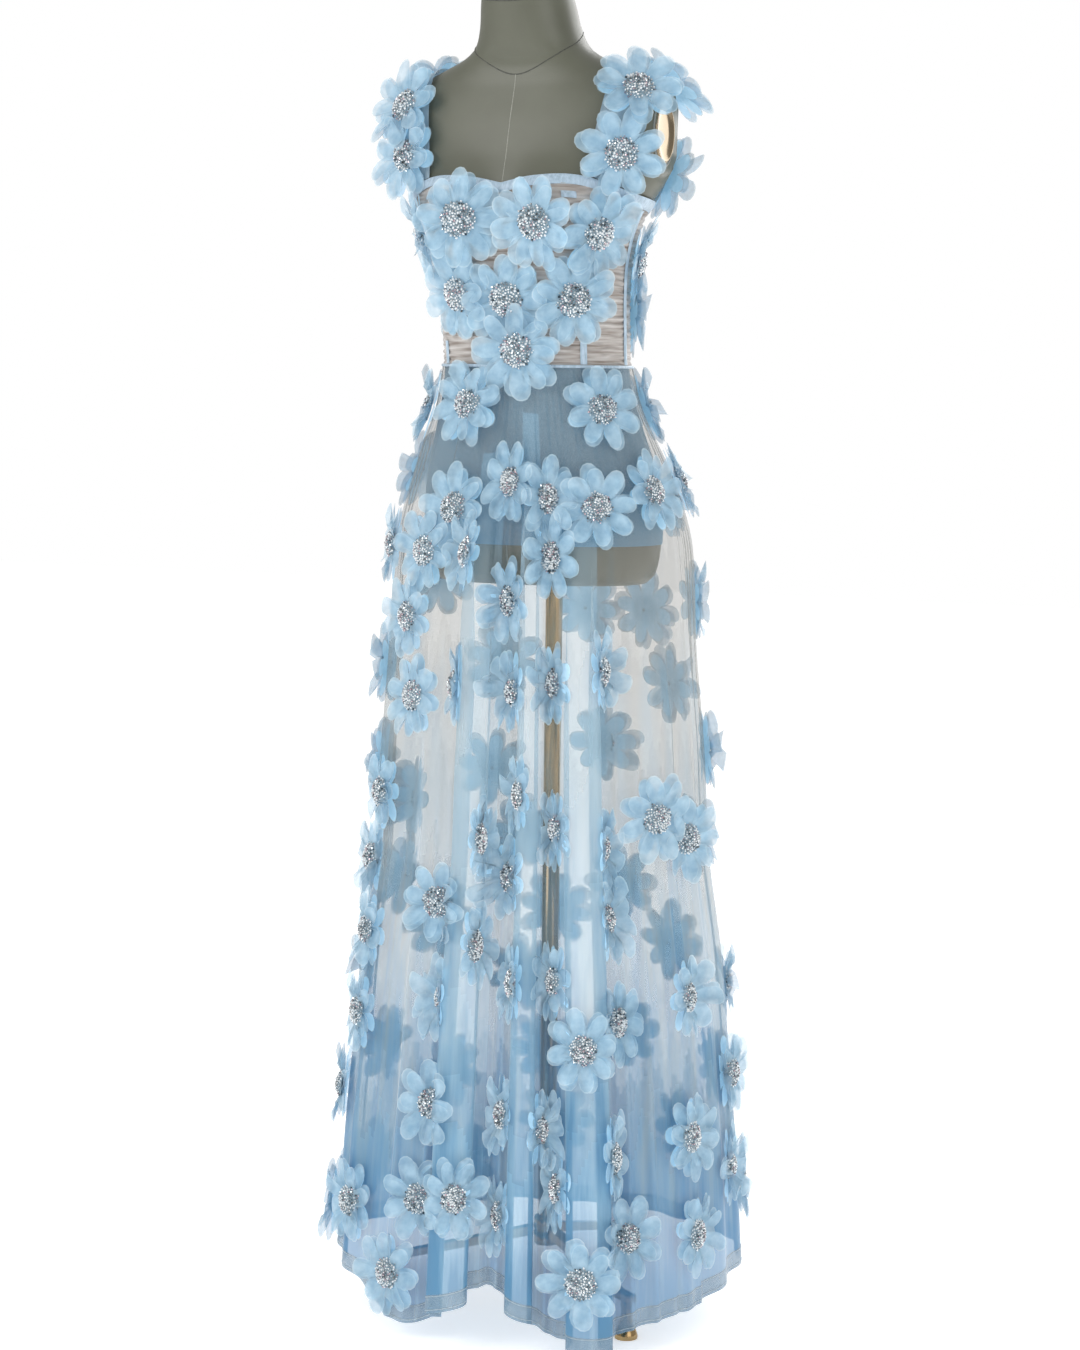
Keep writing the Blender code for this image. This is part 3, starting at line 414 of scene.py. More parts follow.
# The stand: a steel pole in a collar, and three flat legs that run from the collar to bell-shaped feet.
# It is brass-plated and polished, a little darker and warmer than the armhole plates.
plated, shader = new_finish("plated_steel", {"Metallic": 1.0, "Roughness": 0.17})
TARNISH_MM = 18
mottled(plated, shader, "#9E8560", "#B79C70", TARNISH_MM, (1, 1, 0.25))
POLE_RADIUS, POLE_JOINT, POLE_COLUMNS = 0.0105, 0.62, 40
JOINT_HALF, JOINT_DEPTH = 0.0008, 0.0006
HUB_RADIUS, HUB_BOTTOM, HUB_TOP, HUB_GAP = 0.0160, 0.068, 0.104, 0.0003
HUB_GROOVE, GROOVE_FLOOR = 0.086, 0.0152
FOOT_HEIGHT, FOOT_COLUMNS = 0.046, 32
pole_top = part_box("pole")[1][2]
profile = [(0.0, HUB_BOTTOM), (POLE_RADIUS, HUB_BOTTOM), (POLE_RADIUS, POLE_JOINT - JOINT_HALF),
           (POLE_RADIUS - JOINT_DEPTH, POLE_JOINT), (POLE_RADIUS, POLE_JOINT + JOINT_HALF),
           (POLE_RADIUS, pole_top), (0.0, pole_top)]
pole = add_piece("pole_tube", *lathe(profile, AXIS, POLE_COLUMNS), plated, "stand_gold")
pole.data.set_sharp_from_angle(angle=math.radians(40))
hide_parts("pole")
bore = POLE_RADIUS + HUB_GAP
profile = [(bore, HUB_BOTTOM), (0.0142, HUB_BOTTOM), (0.0154, HUB_BOTTOM + 0.0012),
           (HUB_RADIUS, HUB_BOTTOM + 0.004), (HUB_RADIUS, HUB_GROOVE - 0.002),
           (GROOVE_FLOOR, HUB_GROOVE - 0.001), (GROOVE_FLOOR, HUB_GROOVE + 0.001),
           (HUB_RADIUS, HUB_GROOVE + 0.002), (HUB_RADIUS, HUB_TOP - 0.004),
           (0.0154, HUB_TOP - 0.0012), (0.0142, HUB_TOP), (bore, HUB_TOP)]
hub = add_piece("pole_collar", *lathe(profile, AXIS, POLE_COLUMNS), plated, "stand_gold")
hub.data.set_sharp_from_angle(angle=math.radians(40))
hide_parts("hub")
BELL = ((0.0, 0.0), (0.0138, 0.0), (0.0142, 0.0012), (0.0142, 0.0040), (0.0134, 0.0070), (0.0115, 0.0120),
        (0.0090, 0.0175), (0.0074, 0.0230), (0.0066, 0.0290), (0.0062, 0.0360), (0.0064, 0.0390),
        (0.0072, 0.0400), (0.0072, 0.0440), (0.0066, FOOT_HEIGHT), (0.0, FOOT_HEIGHT))
for number in (1, 2, 3):
    bell = lathe(BELL, below(f"foot_{number}"), FOOT_COLUMNS)
    foot = add_piece(f"bell_foot_{number}", *bell, plated, "stand_gold")
    foot.data.set_sharp_from_angle(angle=math.radians(50))
    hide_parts(f"foot_{number}")
    leg = bpy.data.objects[f"leg_{number}"]
    for place in leg.material_slots:
        place.material = plated

# The lining slip: a short tube of blue-grey knitted lining, caught in the waist seam and close over the hip.
# It is a fine polyester knit, whose loops run in upright rows and give it a dull, soft face.
lining, shader = new_finish("knit_lining", {"Roughness": 0.75, "Sheen Weight": 0.2, "Sheen Roughness": 0.4})
LOOP_MM = 1.6
mottled(lining, shader, "#5A839C", "#6B96B0", LOOP_MM, (1, 1, 0.4), 0.0003)
WAIST, SEAM_TURN, LINING_HEM, LINING_OUT = 1.170, 0.0006, 0.955, 0.0014
# Shallow pulls in the lining below the waist seam
PULLS, PULL_DEPTH, PULL_BOTTOM, PULL_FADE = 9, 0.0007, 1.08, 0.08
angles = all_round(144)
heights = between(WAIST - SEAM_TURN, LINING_HEM, 60)
points = []
for angle in angles:
    for height in heights:
        pull = PULL_DEPTH * math.sin(math.radians(angle * PULLS)) * ease((height - PULL_BOTTOM) / PULL_FADE)
        points.append(on_body(form_radius, angle, height, LINING_OUT + pull))
slip = add_piece("slip", points, grid_faces(len(angles), len(heights), True), lining, "lining")
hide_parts("lining_slip")

# The bodice: sheer nude stretch mesh, ruched sideways in close uneven gathers and sewn down at the side
# seams. Fine knitted mesh lets the form's grey through; where the gathers stack it turns milky. Its dark and
# pale sideways bands of colour are partly those stacks and partly painted shade and painted highlight of the
# gathers.
mesh_cloth, shader = new_finish("ruched_nude_mesh", {
    "Roughness": 0.6, "Alpha": 0.66, "Sheen Weight": 0.4, "Sheen Roughness": 0.35,
})
MESH_PLEAT_MM = 9
# Painted shade and painted highlight of the gathers: the colour's sideways dark and pale bands.
mottled(mesh_cloth, shader, "#9C8F86", "#EFEAE6", MESH_PLEAT_MM, (0.16, 0.16, 2.4), 0.0012)
BODICE_TOP = ((0, 1.383), (25, 1.391), (50, 1.391), (75, 1.372), (90, 1.366), (120, 1.361), (180, 1.360))
BODICE_OUT = 0.0034
RUCHE_PITCH, RUCHE_DEPTH = 0.0074, 0.0015
# Sideways sway of the gathers (rise, waves round the body, start, turn with height)
RUCHE_SWAY = ((0.0026, 3, 0, 0), (0.0015, 8, 40, 0), (0.0010, 17, 0, 4000))
BODICE_COLUMNS, BODICE_ROWS = 180, 170


def bodice_top(angle):
    return soft_curve(BODICE_TOP, abs(turned(angle)))


def ruching(angle, height):
    """Height of the uneven sideways gathers at a place."""
    sway = sum(rise * math.sin(math.radians(angle * waves + start + height * climb))
               for rise, waves, start, climb in RUCHE_SWAY)
    wave = math.sin(2 * math.pi * (height + sway) / RUCHE_PITCH)
    wave += 0.6 * math.sin(2 * math.pi * (height - 1.7 * sway) / (RUCHE_PITCH * 1.63) + 1)
    slow = 0.60 + 0.40 * math.sin(2 * math.pi * height * 23 + math.radians(angle * 5))
    return RUCHE_DEPTH * slow * wave * 0.7


points = []
for angle in all_round(BODICE_COLUMNS):
    for height in between(bodice_top(angle), WAIST + 0.0005, BODICE_ROWS):
        points.append(on_body(form_radius, angle, height, BODICE_OUT + ruching(angle, height)))
faces = grid_faces(BODICE_COLUMNS, BODICE_ROWS, True)
bodice = add_piece("bodice_mesh", points, faces, mesh_cloth, "ruched_mesh")
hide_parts("bodice_front", "bodice_back_left", "bodice_back_right")

# Satin bindings: bias strips of pale-blue polyester satin, folded over the upper edge, the second band,
# the boning channels and the side seams. Satin floats its warp, so it shines along one way.
satin, shader = new_finish("satin_binding", {"Roughness": 0.38, "Anisotropic": 0.4, "Sheen Weight": 0.3})
SATIN_FLOAT_MM = 3
mottled(satin, shader, "#94ABBB", "#B9CCDC", SATIN_FLOAT_MM, (1, 1, 0.3), 0.0002)
BINDING_WIDTH, NARROW_WIDTH, TRIM_OUT, TRIM_CROWN = 0.012, 0.008, 0.0056, 0.0012
CROWN = (0.0, 0.75, 1.0, 1.0, 0.75, 0.0)
# Angles of the second band's ends, the boning channel and the side seam, on the left
BAND_FIRST, BAND_LAST, CHANNEL_ANGLE, SIDE_SEAM = 39, 47, 55, 90
BAND_DROP, CHANNEL_TOP, TRIM_GAP = 0.020, 1.198, 0.001


def across_strip(stations, closed=False):
    """Points and faces of a rounded strip; each station gives a function from 0 to 1 across it."""
    rows = len(CROWN)
    points = [station(k / (rows - 1), rise) for station in stations for k, rise in enumerate(CROWN)]
    return points, grid_faces(len(stations), rows, closed)


def band_station(angle, top, width):
    return lambda part, rise: on_body(form_radius, angle, top - width * part,
                                      TRIM_OUT - TRIM_CROWN * (1 - rise))


def upright_station(angle, height, width):
    half = math.degrees(width / 2 / form_radius(angle, height))
    return lambda part, rise: on_body(form_radius, angle + half * (2 * part - 1), height,
                                      TRIM_OUT - TRIM_CROWN * (1 - rise))


stations = [band_station(a, bodice_top(a) + 0.0003, BINDING_WIDTH) for a in all_round(BODICE_COLUMNS)]
binding = add_piece("neckline_binding", *across_strip(stations, True), satin, "satin_trim")
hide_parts("top_binding")
for side, turn in SIDES:
    first, last = sorted((BAND_FIRST * turn, BAND_LAST * turn))
    stations = [band_station(a, bodice_top(a) - BAND_DROP, NARROW_WIDTH) for a in between(first, last, 12)]
    band = add_piece(f"second_band_satin_{side}", *across_strip(stations), satin, "satin_trim")
    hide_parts(f"second_band_{side}")
    stations = [upright_station(CHANNEL_ANGLE * turn, z, NARROW_WIDTH)
                for z in between(WAIST + TRIM_GAP, CHANNEL_TOP, 20)]
    channel = add_piece(f"boning_satin_{side}", *across_strip(stations), satin, "satin_trim")
    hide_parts(f"boning_channel_{side}")
    seam_top = bodice_top(SIDE_SEAM) - BINDING_WIDTH - TRIM_GAP
    stations = [upright_station(SIDE_SEAM * turn, z, NARROW_WIDTH)
                for z in between(WAIST + TRIM_GAP, seam_top, 60)]
    seam = add_piece(f"side_satin_{side}", *across_strip(stations), satin, "satin_trim")
    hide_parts(f"side_binding_{side}")

# Shoulder straps: a wide band of doubled tulle over each shoulder, gathered a little along its length and
# caught at the upper binding. Tulle is a hexagonal net of fine nylon, too fine to show here, so it is a
# plain film that covers as much as the net does.
tulle_double, shader = new_finish("doubled_tulle", {
    "Roughness": 0.6, "Alpha": 0.62, "Sheen Weight": 0.5, "Sheen Roughness": 0.35,
})
STREAK_MM = 14
mottled(tulle_double, shader, "#8FAABC", "#B6CCDA", STREAK_MM, (2, 0.4, 0.4), 0.0006)
SHOULDER_HEIGHT = 1.445
STRAP_WIDTH, STRAP_AT_BODICE, STRAP_AT_SHOULDER = 0.042, 0.123, 0.140
STRAP_IN, STRAP_OUT, STRAP_END_GAP = 0.0038, 0.0046, 0.0027
# Turns between which a strap's front and back ends are looked for
FRONT_END, BACK_END = (-75, 20), (255, 160)
STRAP_GATHER, STRAP_TULLE_OUT = 0.0012, 0.0006


def round_body(place):
    """The angle of a point round the body, and its reach from the body's middle."""
    offset = place - body_middle(place.z)
    return math.degrees(math.atan2(offset.x, -offset.y)), math.hypot(offset.x, offset.y)


def in_form(place):
    angle, reach = round_body(place)
    return reach < form_radius(angle, place.z)


def over_shoulder(x, turn, out):
    """A point over the shoulder in the upright plane x from the middle, turn degrees up from the front."""
    pivot = body_middle(SHOULDER_HEIGHT) + Vector((x, 0, 0))
    ray = Vector((0, -math.cos(math.radians(turn)), math.sin(math.radians(turn))))
    near, far = 0.0, 0.2
    for _ in range(24):
        reach = (near + far) / 2
        near, far = (reach, far) if in_form(pivot + ray * reach) else (near, reach)
    return pivot + ray * (near + out), ray


def strap_end(x, first, last):
    """The turn at which a strap meets the bodice's upper edge, between two turns."""
    for _ in range(16):
        middle = (first + last) / 2
        place, _ = over_shoulder(x, middle, STRAP_IN)
        angle, _ = round_body(place)
        above = place.z > bodice_top(angle) + STRAP_END_GAP
        first, last = (first, middle) if above else (middle, last)
    return last


def strap_point(side, across, along, out):
    """A point of a strap: across from -1 to 1, along from the front neckline to the back."""
    drift = math.sin(math.pi * along)
    middle = STRAP_AT_BODICE + (STRAP_AT_SHOULDER - STRAP_AT_BODICE) * drift
    x = middle + across * STRAP_WIDTH / 2
    ends = strap_ends.setdefault(round(across, 3), {})
    key = round(along, 3)
    if key not in ends:
        ends[key] = strap_end(x, *FRONT_END), strap_end(x, *BACK_END)
    front, back = ends[key]
    return over_shoulder(side * x, front + (back - front) * along, out)[0]


strap_ends = {}
STATIONS, LANES = 60, 15
for side, turn in SIDES:
    points = []
    for s in range(STATIONS):
        along = s / (STATIONS - 1)
        for k in range(LANES):
            across = 2 * k / (LANES - 1) - 1
            wave = math.sin(across * 14 + 2.2 * math.sin(along * 7))
            gather = STRAP_GATHER * wave * math.sin(math.pi * (k / (LANES - 1)))
            points.append(strap_point(turn, across, along, STRAP_OUT + STRAP_TULLE_OUT + gather))
    faces = grid_faces(STATIONS, LANES, False)
    strap = add_piece(f"tulle_strap_{side}", points, faces, tulle_double, "strap_tulle")
    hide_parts(f"strap_{side}")

# The skirt: four widths of stiff nylon tulle, gathered into the waist seam and falling free in three tubular
# folds at the front and soft waves elsewhere. One layer hides little; where folds stack it turns milky blue.
# The net's cover grows down the skirt, where more cloth lies in each fold (lowest height, part covered).
TULLE_COVER = (
    (0.96, 0.29), (0.82, 0.33), (0.68, 0.38), (0.54, 0.43), (0.40, 0.49), (0.30, 0.55), (0.245, 0.64),
    (0.00, 0.78),
)
# The steps between two covers run up and down in waves (rise, waves round the skirt)
COVER_WAVES = ((0.024, 23), (0.016, 61))
STREAK_WIDE_MM = 16


def shade_tulle(finish, shader, colours):
    """Colours from the hem to the waist, with upright streaks where the net is drawn together."""
    tree = finish.node_tree
    where = add_node(tree, "ShaderNodeTexCoord")
    drawn = add_node(tree, "ShaderNodeMapping", {"Scale": (1, 1, 0.05)},
                     [(where.outputs["Object"], "Vector")])
    streaks = add_node(tree, "ShaderNodeTexNoise", {"Scale": 1000 / STREAK_WIDE_MM, "Detail": 4.0},
                       [(drawn.outputs["Vector"], "Vector")])
    axes = add_node(tree, "ShaderNodeSeparateXYZ", {}, [(where.outputs["Object"], "Vector")])
    height = add_node(tree, "ShaderNodeMapRange",
                      {"From Min": 0.0, "From Max": WAIST, "To Min": -0.25, "To Max": 0.75},
                      [(axes.outputs["Z"], "Value")])
    place = add_node(tree, "ShaderNodeMath", {"operation": "ADD"},
                     [(height.outputs["Result"], 0), (streaks.outputs["Fac"], 1)])
    shades = add_node(tree, "ShaderNodeValToRGB", {}, [(place.outputs["Value"], "Fac")])
    stops = shades.color_ramp.elements
    stops[0].position, stops[0].color = 0.29, srgb(colours[0])
    stops[1].position, stops[1].color = 1.00, srgb(colours[3])
    stops.new(0.48).color = srgb(colours[1])
    stops.new(0.74).color = srgb(colours[2])
    tree.links.new(shades.outputs["Color"], shader.inputs["Base Color"])


# The front folds stand in the light: their paler, bluer colours and faint glow are painted light, lit copies
# of the flat net's finishes. The colours run from the hem to the waist.
FLAT_NET = ("#4F87B0", "#6D98B5", "#869FAB", "#9B9A93")
FOLD_NET_PAINTED_LIT = ("#4F88AE", "#7AA6C2", "#A0BFCF", "#AEC5D0")
tulles = []
for name, colours, glow in (("flat", FLAT_NET, 0.0), ("folded", FOLD_NET_PAINTED_LIT, 0.04)):
    for number, (_, cover) in enumerate(TULLE_COVER, 1):
        tulle, shader = new_finish(f"nylon_tulle_{name}_{number}", {
            "Roughness": 0.55, "Alpha": cover, "Sheen Weight": 0.6, "Sheen Roughness": 0.25,
            "Emission Color": srgb("#A9CBDD"), "Emission Strength": glow,
        })
        shade_tulle(tulle, shader, colours)
        tulles.append(tulle)
# Skirt sections (height, half width, front depth, back depth)
SKIRT_SECTIONS = (
    (0.000, 0.247, 0.230, 0.262),
    (0.050, 0.246, 0.229, 0.261),
    (0.200, 0.238, 0.218, 0.247),
    (0.320, 0.228, 0.207, 0.233),
    (0.450, 0.217, 0.195, 0.217),
    (0.570, 0.201, 0.179, 0.199),
    (0.700, 0.195, 0.171, 0.188),
    (0.820, 0.186, 0.161, 0.177),
    (0.950, 0.180, 0.151, 0.166),
    (1.000, 0.169, 0.139, 0.152),
    (1.070, 0.145, 0.116, 0.124),
    (1.120, 0.126, 0.099, 0.100),
    (1.170, 0.116, 0.091, 0.086),
)
SKIRT_ROUNDNESS = 2.1
# Tubular front folds (angle, half width in degrees, depth, height where it starts)
FRONT_FOLDS = ((-2, 8.0, 0.036, 1.08), (19.5, 5.0, 0.030, 1.13), (39, 8.0, 0.040, 1.02))
FOLD_GROWTH, PAINTED_LIT_DROP = 0.22, 0.02
# The cloth drawn in between them: depth, first and last angle, height where it starts
FRONT_TROUGH, TROUGH_FIRST, TROUGH_LAST, TROUGH_TOP = 0.012, -22, 62, 1.0
TROUGH_FADE, TROUGH_GROWTH = 14, 0.25
# Soft waves: degrees from one to the next, depth, first and last angle, height where they start
SOFT_FOLD_PITCH, SOFT_FOLD_DEPTH, SOFT_FIRST, SOFT_LAST, SOFT_TOP = 20, 0.009, 60, 330, 1.08
SOFT_FADE, SOFT_GROWTH, SOFT_CREST = 20, 0.5, 70
# Height of the hem round the skirt (angle, height)
HEM = (
    (-180, 0.058), (-90, 0.070), (-62, 0.064), (-38, 0.050), (-20, 0.020), (-6, 0.040), (10, 0.080),
    (21, 0.044), (40, 0.009), (56, 0.032), (75, 0.042), (100, 0.056), (140, 0.060), (180, 0.058),
)
# Creases of the front and the left side (angle, half width in degrees, depth, top, bottom)
CREASES = (
    (-27, 1.6, 0.0035, 1.165, 0.72),
    (-19, 1.2, 0.0030, 1.165, 0.40),
    (-12, 1.0, -0.0030, 1.150, 0.55),
    (-4, 1.2, 0.0035, 1.100, 0.15),
    (3, 1.0, -0.0030, 1.165, 0.80),
    (10, 1.3, 0.0035, 1.165, 0.30),
    (16, 0.9, -0.0025, 1.120, 0.60),
    (22, 0.9, 0.0030, 1.165, 0.10),
    (29, 1.2, 0.0035, 1.150, 0.55),
    (36, 1.0, -0.0030, 1.100, 0.20),
    (44, 1.1, 0.0030, 1.165, 0.35),
    (51, 1.4, 0.0040, 1.165, 0.62),
    (58, 1.1, -0.0030, 1.120, 0.12),
    (66, 1.5, 0.0040, 1.165, 0.50),
    (74, 1.2, -0.0030, 1.140, 0.25),
    (83, 1.6, 0.0040, 1.165, 0.66),
    (-25, 1.5, 0.0055, 0.80, -0.2),
    (-14, 1.2, 0.0050, 0.72, -0.2),
    (8, 1.1, -0.0050, 0.66, -0.2),
    (12, 1.3, 0.0060, 0.84, -0.2),
    (27, 1.2, 0.0060, 0.78, -0.2),
    (49, 1.1, -0.0045, 0.60, -0.2),
    (53, 1.3, 0.0060, 0.82, -0.2),
    (60, 1.4, 0.0050, 0.74, -0.2),
    (69, 1.2, -0.0050, 0.64, -0.2),
    (78, 1.5, 0.0055, 0.80, -0.2),
)
# A tubular fold's head is wider than its neck (place across the flat cloth, place across the fold; 0 to 1)
FOLD_HEAD = ((0, 0), (0.20, 0.52), (0.35, 0.78), (0.50, 0.76), (0.70, 0.46), (0.85, 0.58), (1, 1))
FOLD_HEAD_BACK = ((0, 0), (0.52, 0.20), (0.78, 0.35))
HEAD_EDGE, HEAD_GROWTH = 0.78, 0.30
# Similar creases round the back and the right side
MORE_CREASES, CREASE_FIRST, CREASE_PITCH, CREASE_DEPTH = 34, 92, 6.6, 0.0032
crease_maker = random.Random(7)
creases = list(CREASES)
for k in range(MORE_CREASES):
    angle = CREASE_FIRST + k * CREASE_PITCH + crease_maker.uniform(-2, 2)
    top = crease_maker.uniform(1.10, 1.165)
    creases.append((angle, crease_maker.uniform(1.0, 1.8), crease_maker.choice((-1, 1)) * CREASE_DEPTH,
                    top, top - crease_maker.uniform(0.35, 0.95)))
creases_near = {a: [c for c in creases if abs(turned(a - c[0])) < 3 * c[1] + 1] for a in range(-180, 180)}
SKIRT_CURVES = curves_of(SKIRT_SECTIONS)
CREASE_TOP_FADE, CREASE_BOTTOM_FADE = 0.06, 0.18
GATHERS, GATHER_DEPTH, GATHER_BOTTOM, GATHER_FADE = 78, 0.0016, 0.86, 0.26
SKIRT_MIDDLE, OVER_FORM = 0.0010, 0.0026


def front_fold(angle, height):
    """Outward depth of the tubular folds of the front, with the cloth drawn in between them."""
    depth = 0.0
    for middle, half_width, reach, start in FRONT_FOLDS:
        across = abs(turned(angle - middle)) / half_width
        if across < 1:
            depth += reach * (1 - ease(across)) * ease((start - height) / FOLD_GROWTH)
    turn = turned(angle)
    window = ease((turn - TROUGH_FIRST) / TROUGH_FADE) * ease((TROUGH_LAST - turn) / TROUGH_FADE)
    return depth - FRONT_TROUGH * window * ease((TROUGH_TOP - height) / TROUGH_GROWTH)


def soft_fold(angle, height):
    """Soft upright waves round the sides and the back."""
    turn = angle % 360
    window = ease((turn - SOFT_FIRST) / SOFT_FADE) * ease((SOFT_LAST - turn) / SOFT_FADE)
    uneven = 0.75 + 0.25 * math.cos(math.radians(turn * 1.5))
    wave = math.cos(2 * math.pi * (turn - SOFT_CREST) / SOFT_FOLD_PITCH)
    return SOFT_FOLD_DEPTH * window * uneven * wave * ease((SOFT_TOP - height) / SOFT_GROWTH)


def skirt_radius(angle, height):
    """The skirt's main form, without its fine creases."""
    reach = section_reach(SKIRT_CURVES, SKIRT_ROUNDNESS, angle, height)
    reach += front_fold(angle, height) + soft_fold(angle, height)
    if height > FORM_BOTTOM - 0.02:
        reach = max(reach, form_radius(angle, height) + OVER_FORM)
    return reach + SKIRT_MIDDLE


def crease_depth(angle, height):
    """Outward depth of the creases, and of the gathers near the waist."""
    depth = 0.0
    for middle, half_width, reach, top, bottom in creases_near[int(math.floor(turned(angle)))]:
        across = turned(angle - middle) / half_width
        length = ease((top - height) / CREASE_TOP_FADE) * ease((height - bottom) / CREASE_BOTTOM_FADE)
        depth += reach * length * math.exp(-(across**2))
    fade = ease((height - GATHER_BOTTOM) / GATHER_FADE)
    uneven = math.sin(math.radians(angle * 11)) * 1.2
    depth += GATHER_DEPTH * fade * (1 + math.sin(math.radians(angle * GATHERS) + uneven)) / 2
    return depth


def hem_height(angle):
    return soft_curve(HEM, turned(angle))


def swung(angle, height, head, edge=1.0):
    """The angle after a front fold's head or its reverse has moved the cloth sideways."""
    for middle, half_width, _, start in FRONT_FOLDS:
        across = turned(angle - middle) / half_width
        if abs(across) < edge:
            grown = ease((start - height) / HEAD_GROWTH)
            part = abs(across) + (soft_curve(head, abs(across)) - abs(across)) * grown
            return middle + math.copysign(part, across) * half_width
    return angle


def on_tulle(angle, height, out=0.0):
    """A point of the skirt, whose angle counts along the cloth."""
    reach = skirt_radius(angle, height) + crease_depth(angle, height) + out
    return body_middle(height) + outward(swung(angle, height, FOLD_HEAD)) * reach


# Three columns of the mesh to a degree over the front folds, and one to a degree elsewhere
angles = between(-30, 64, 283) + between(65, 329, 265)
ROWS = 120
points = []
for angle in angles:
    heights = between(WAIST - SEAM_TURN, hem_height(angle), ROWS)
    points += [on_tulle(angle, height) for height in heights]
faces = grid_faces(len(angles), ROWS, True)
covers = []
for face in faces:
    angle, height = angles[face[0] // ROWS], points[face[0]].z
    level = height + sum(rise * math.sin(math.radians(angle * waves)) for rise, waves in COVER_WAVES)
    cover = next((k for k, (low, _) in enumerate(TULLE_COVER) if level >= low), len(TULLE_COVER) - 1)
    # Faces of the front folds, which take the painted light of the lit net finishes.
    painted_lit_fold = any(abs(turned(angle - middle)) < half_width and height < start - PAINTED_LIT_DROP
                  for middle, half_width, _, start in FRONT_FOLDS)
    covers.append(cover + len(TULLE_COVER) * painted_lit_fold)
skirt = add_piece("tulle_skirt", points, faces, tulles, "skirt_tulle", covers)
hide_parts("skirt_front", "skirt_left", "skirt_back", "skirt_right")

# The hem: the tulle is folded up about 22 mm and run down with two rows of straight stitching in polyester
# thread. The net lies double there, so the band is denser than the skirt.
hem_cloth, shader = new_finish("folded_hem", {"Roughness": 0.5, "Alpha": 0.40, "Sheen Weight": 0.5})
mottled(hem_cloth, shader, "#8299A6", "#B4C3CA", STREAK_WIDE_MM, (1, 1, 0.3), 0.0004)
hem_thread, shader = new_finish("polyester_thread", {"Roughness": 0.45})
mottled(hem_thread, shader, "#8FA2AC", "#BCCBD3", STITCH_MM)
HEM_DEPTH, HEM_OUT = 0.022, 0.0006
# Section of a row of stitches (rise, out)
STITCHING = ((0.0004, 0.0008), (0.0, 0.0012), (-0.0004, 0.0008))
points = []
for angle in angles:
    hem = hem_height(angle)
    points += [on_tulle(angle, hem + HEM_DEPTH * k / 3, HEM_OUT) for k in (3, 2, 1, 0)]
hem_band = add_piece("hem_band", points, grid_faces(len(angles), 4, True), hem_cloth, "skirt_tulle")
for number, lift in ((1, 0.004), (2, HEM_DEPTH - 0.002)):
    points = []
    for angle in angles:
        height = hem_height(angle) + lift
        points += [on_tulle(angle, height + rise, out) for rise, out in STITCHING]
    faces = grid_faces(len(angles), len(STITCHING), True)
    add_piece(f"hem_stitching_{number}", points, faces, hem_thread, "satin_trim")
# The waist seam: the gathers are caught under a narrow edge of pale satin.
EDGE_TOP, EDGE_WIDTH, EDGE_OUT, EDGE_CROWN = WAIST + 0.0004, 0.0035, 0.0060, 0.0008
EDGE_SECTION = (0.0, 0.8, 1.0, 0.8, 0.0)
points = []
for angle in all_round(BODICE_COLUMNS):
    for k, rise in enumerate(EDGE_SECTION):
        height = EDGE_TOP - EDGE_WIDTH * k / 4
        points.append(on_body(form_radius, angle, height, EDGE_OUT + EDGE_CROWN * rise))
faces = grid_faces(BODICE_COLUMNS, len(EDGE_SECTION), True)
add_piece("waist_edge", points, faces, satin, "satin_trim")

# The flowers: 120 of them, each of three layers of eight laser-cut organza petals, sewn to the gown
# through a cluster of glass beads and sequins. They are about 105 to 120 mm across.
# Organza is a thin crisp weave that lets light through; its faint even glow is painted light standing in for
# that light, even from behind. The laser melts its cut edge to a fine rim, whose paler colour and glow are
# partly that melted edge and partly a painted highlight at the petals' tips.
organza, shader = new_finish("organza", {
    "Roughness": 0.5, "Alpha": 0.58, "Sheen Weight": 0.25, "Sheen Roughness": 0.3,
    "Emission Color": srgb("#A6C2D2"), "Emission Strength": 0.03,
})
ORGANZA_CLOUD_MM = 14
mottled(organza, shader, "#8AAFC6", "#B6D2E2", ORGANZA_CLOUD_MM, bump=0.0004)
# Near the beads the three layers lie close on each other; their deeper blue there is painted shade about the
# beads, with a faint painted glow.
organza_close_and_shade, shader = new_finish("organza_close_layers_painted_shade", {
    "Roughness": 0.5, "Alpha": 0.66, "Sheen Weight": 0.2, "Sheen Roughness": 0.3,
    "Emission Color": srgb("#8EB4CC"), "Emission Strength": 0.06,
})
mottled(organza_close_and_shade, shader, "#7BA3BE", "#A0C3D8", ORGANZA_CLOUD_MM, bump=0.0004)
# Melted edge and painted highlight: the petals' outer rim is paler and glows.
melted_edge_and_highlight, shader = new_finish("melted_organza_edge_and_painted_highlight", {
    "Roughness": 0.4, "Alpha": 0.50, "Sheen Weight": 0.25,
    "Emission Color": srgb("#B8D0DD"), "Emission Strength": 0.10,
})
mottled(melted_edge_and_highlight, shader, "#A4C4D5", "#CDE1EB", ORGANZA_CLOUD_MM)
# The lowest layer is the one seen from inside the skirt, through the net. Its glow stands in for the light
# that shines through the flower from behind.
organza_lowest, shader = new_finish("organza_lowest_layer", {
    "Roughness": 0.5, "Alpha": 0.66, "Sheen Weight": 0.2, "Sheen Roughness": 0.3,
    "Emission Color": srgb("#8ABBD6"), "Emission Strength": 0.62,
})
mottled(organza_lowest, shader, "#8AAFC6", "#B6D2E2", ORGANZA_CLOUD_MM, bump=0.0004)
PETAL_FINISHES = (organza, organza_close_and_shade, melted_edge_and_highlight, organza_lowest)
MIDST, CLOSE_AND_SHADE, RIM_AND_HIGHLIGHT, LOWEST = range(4)
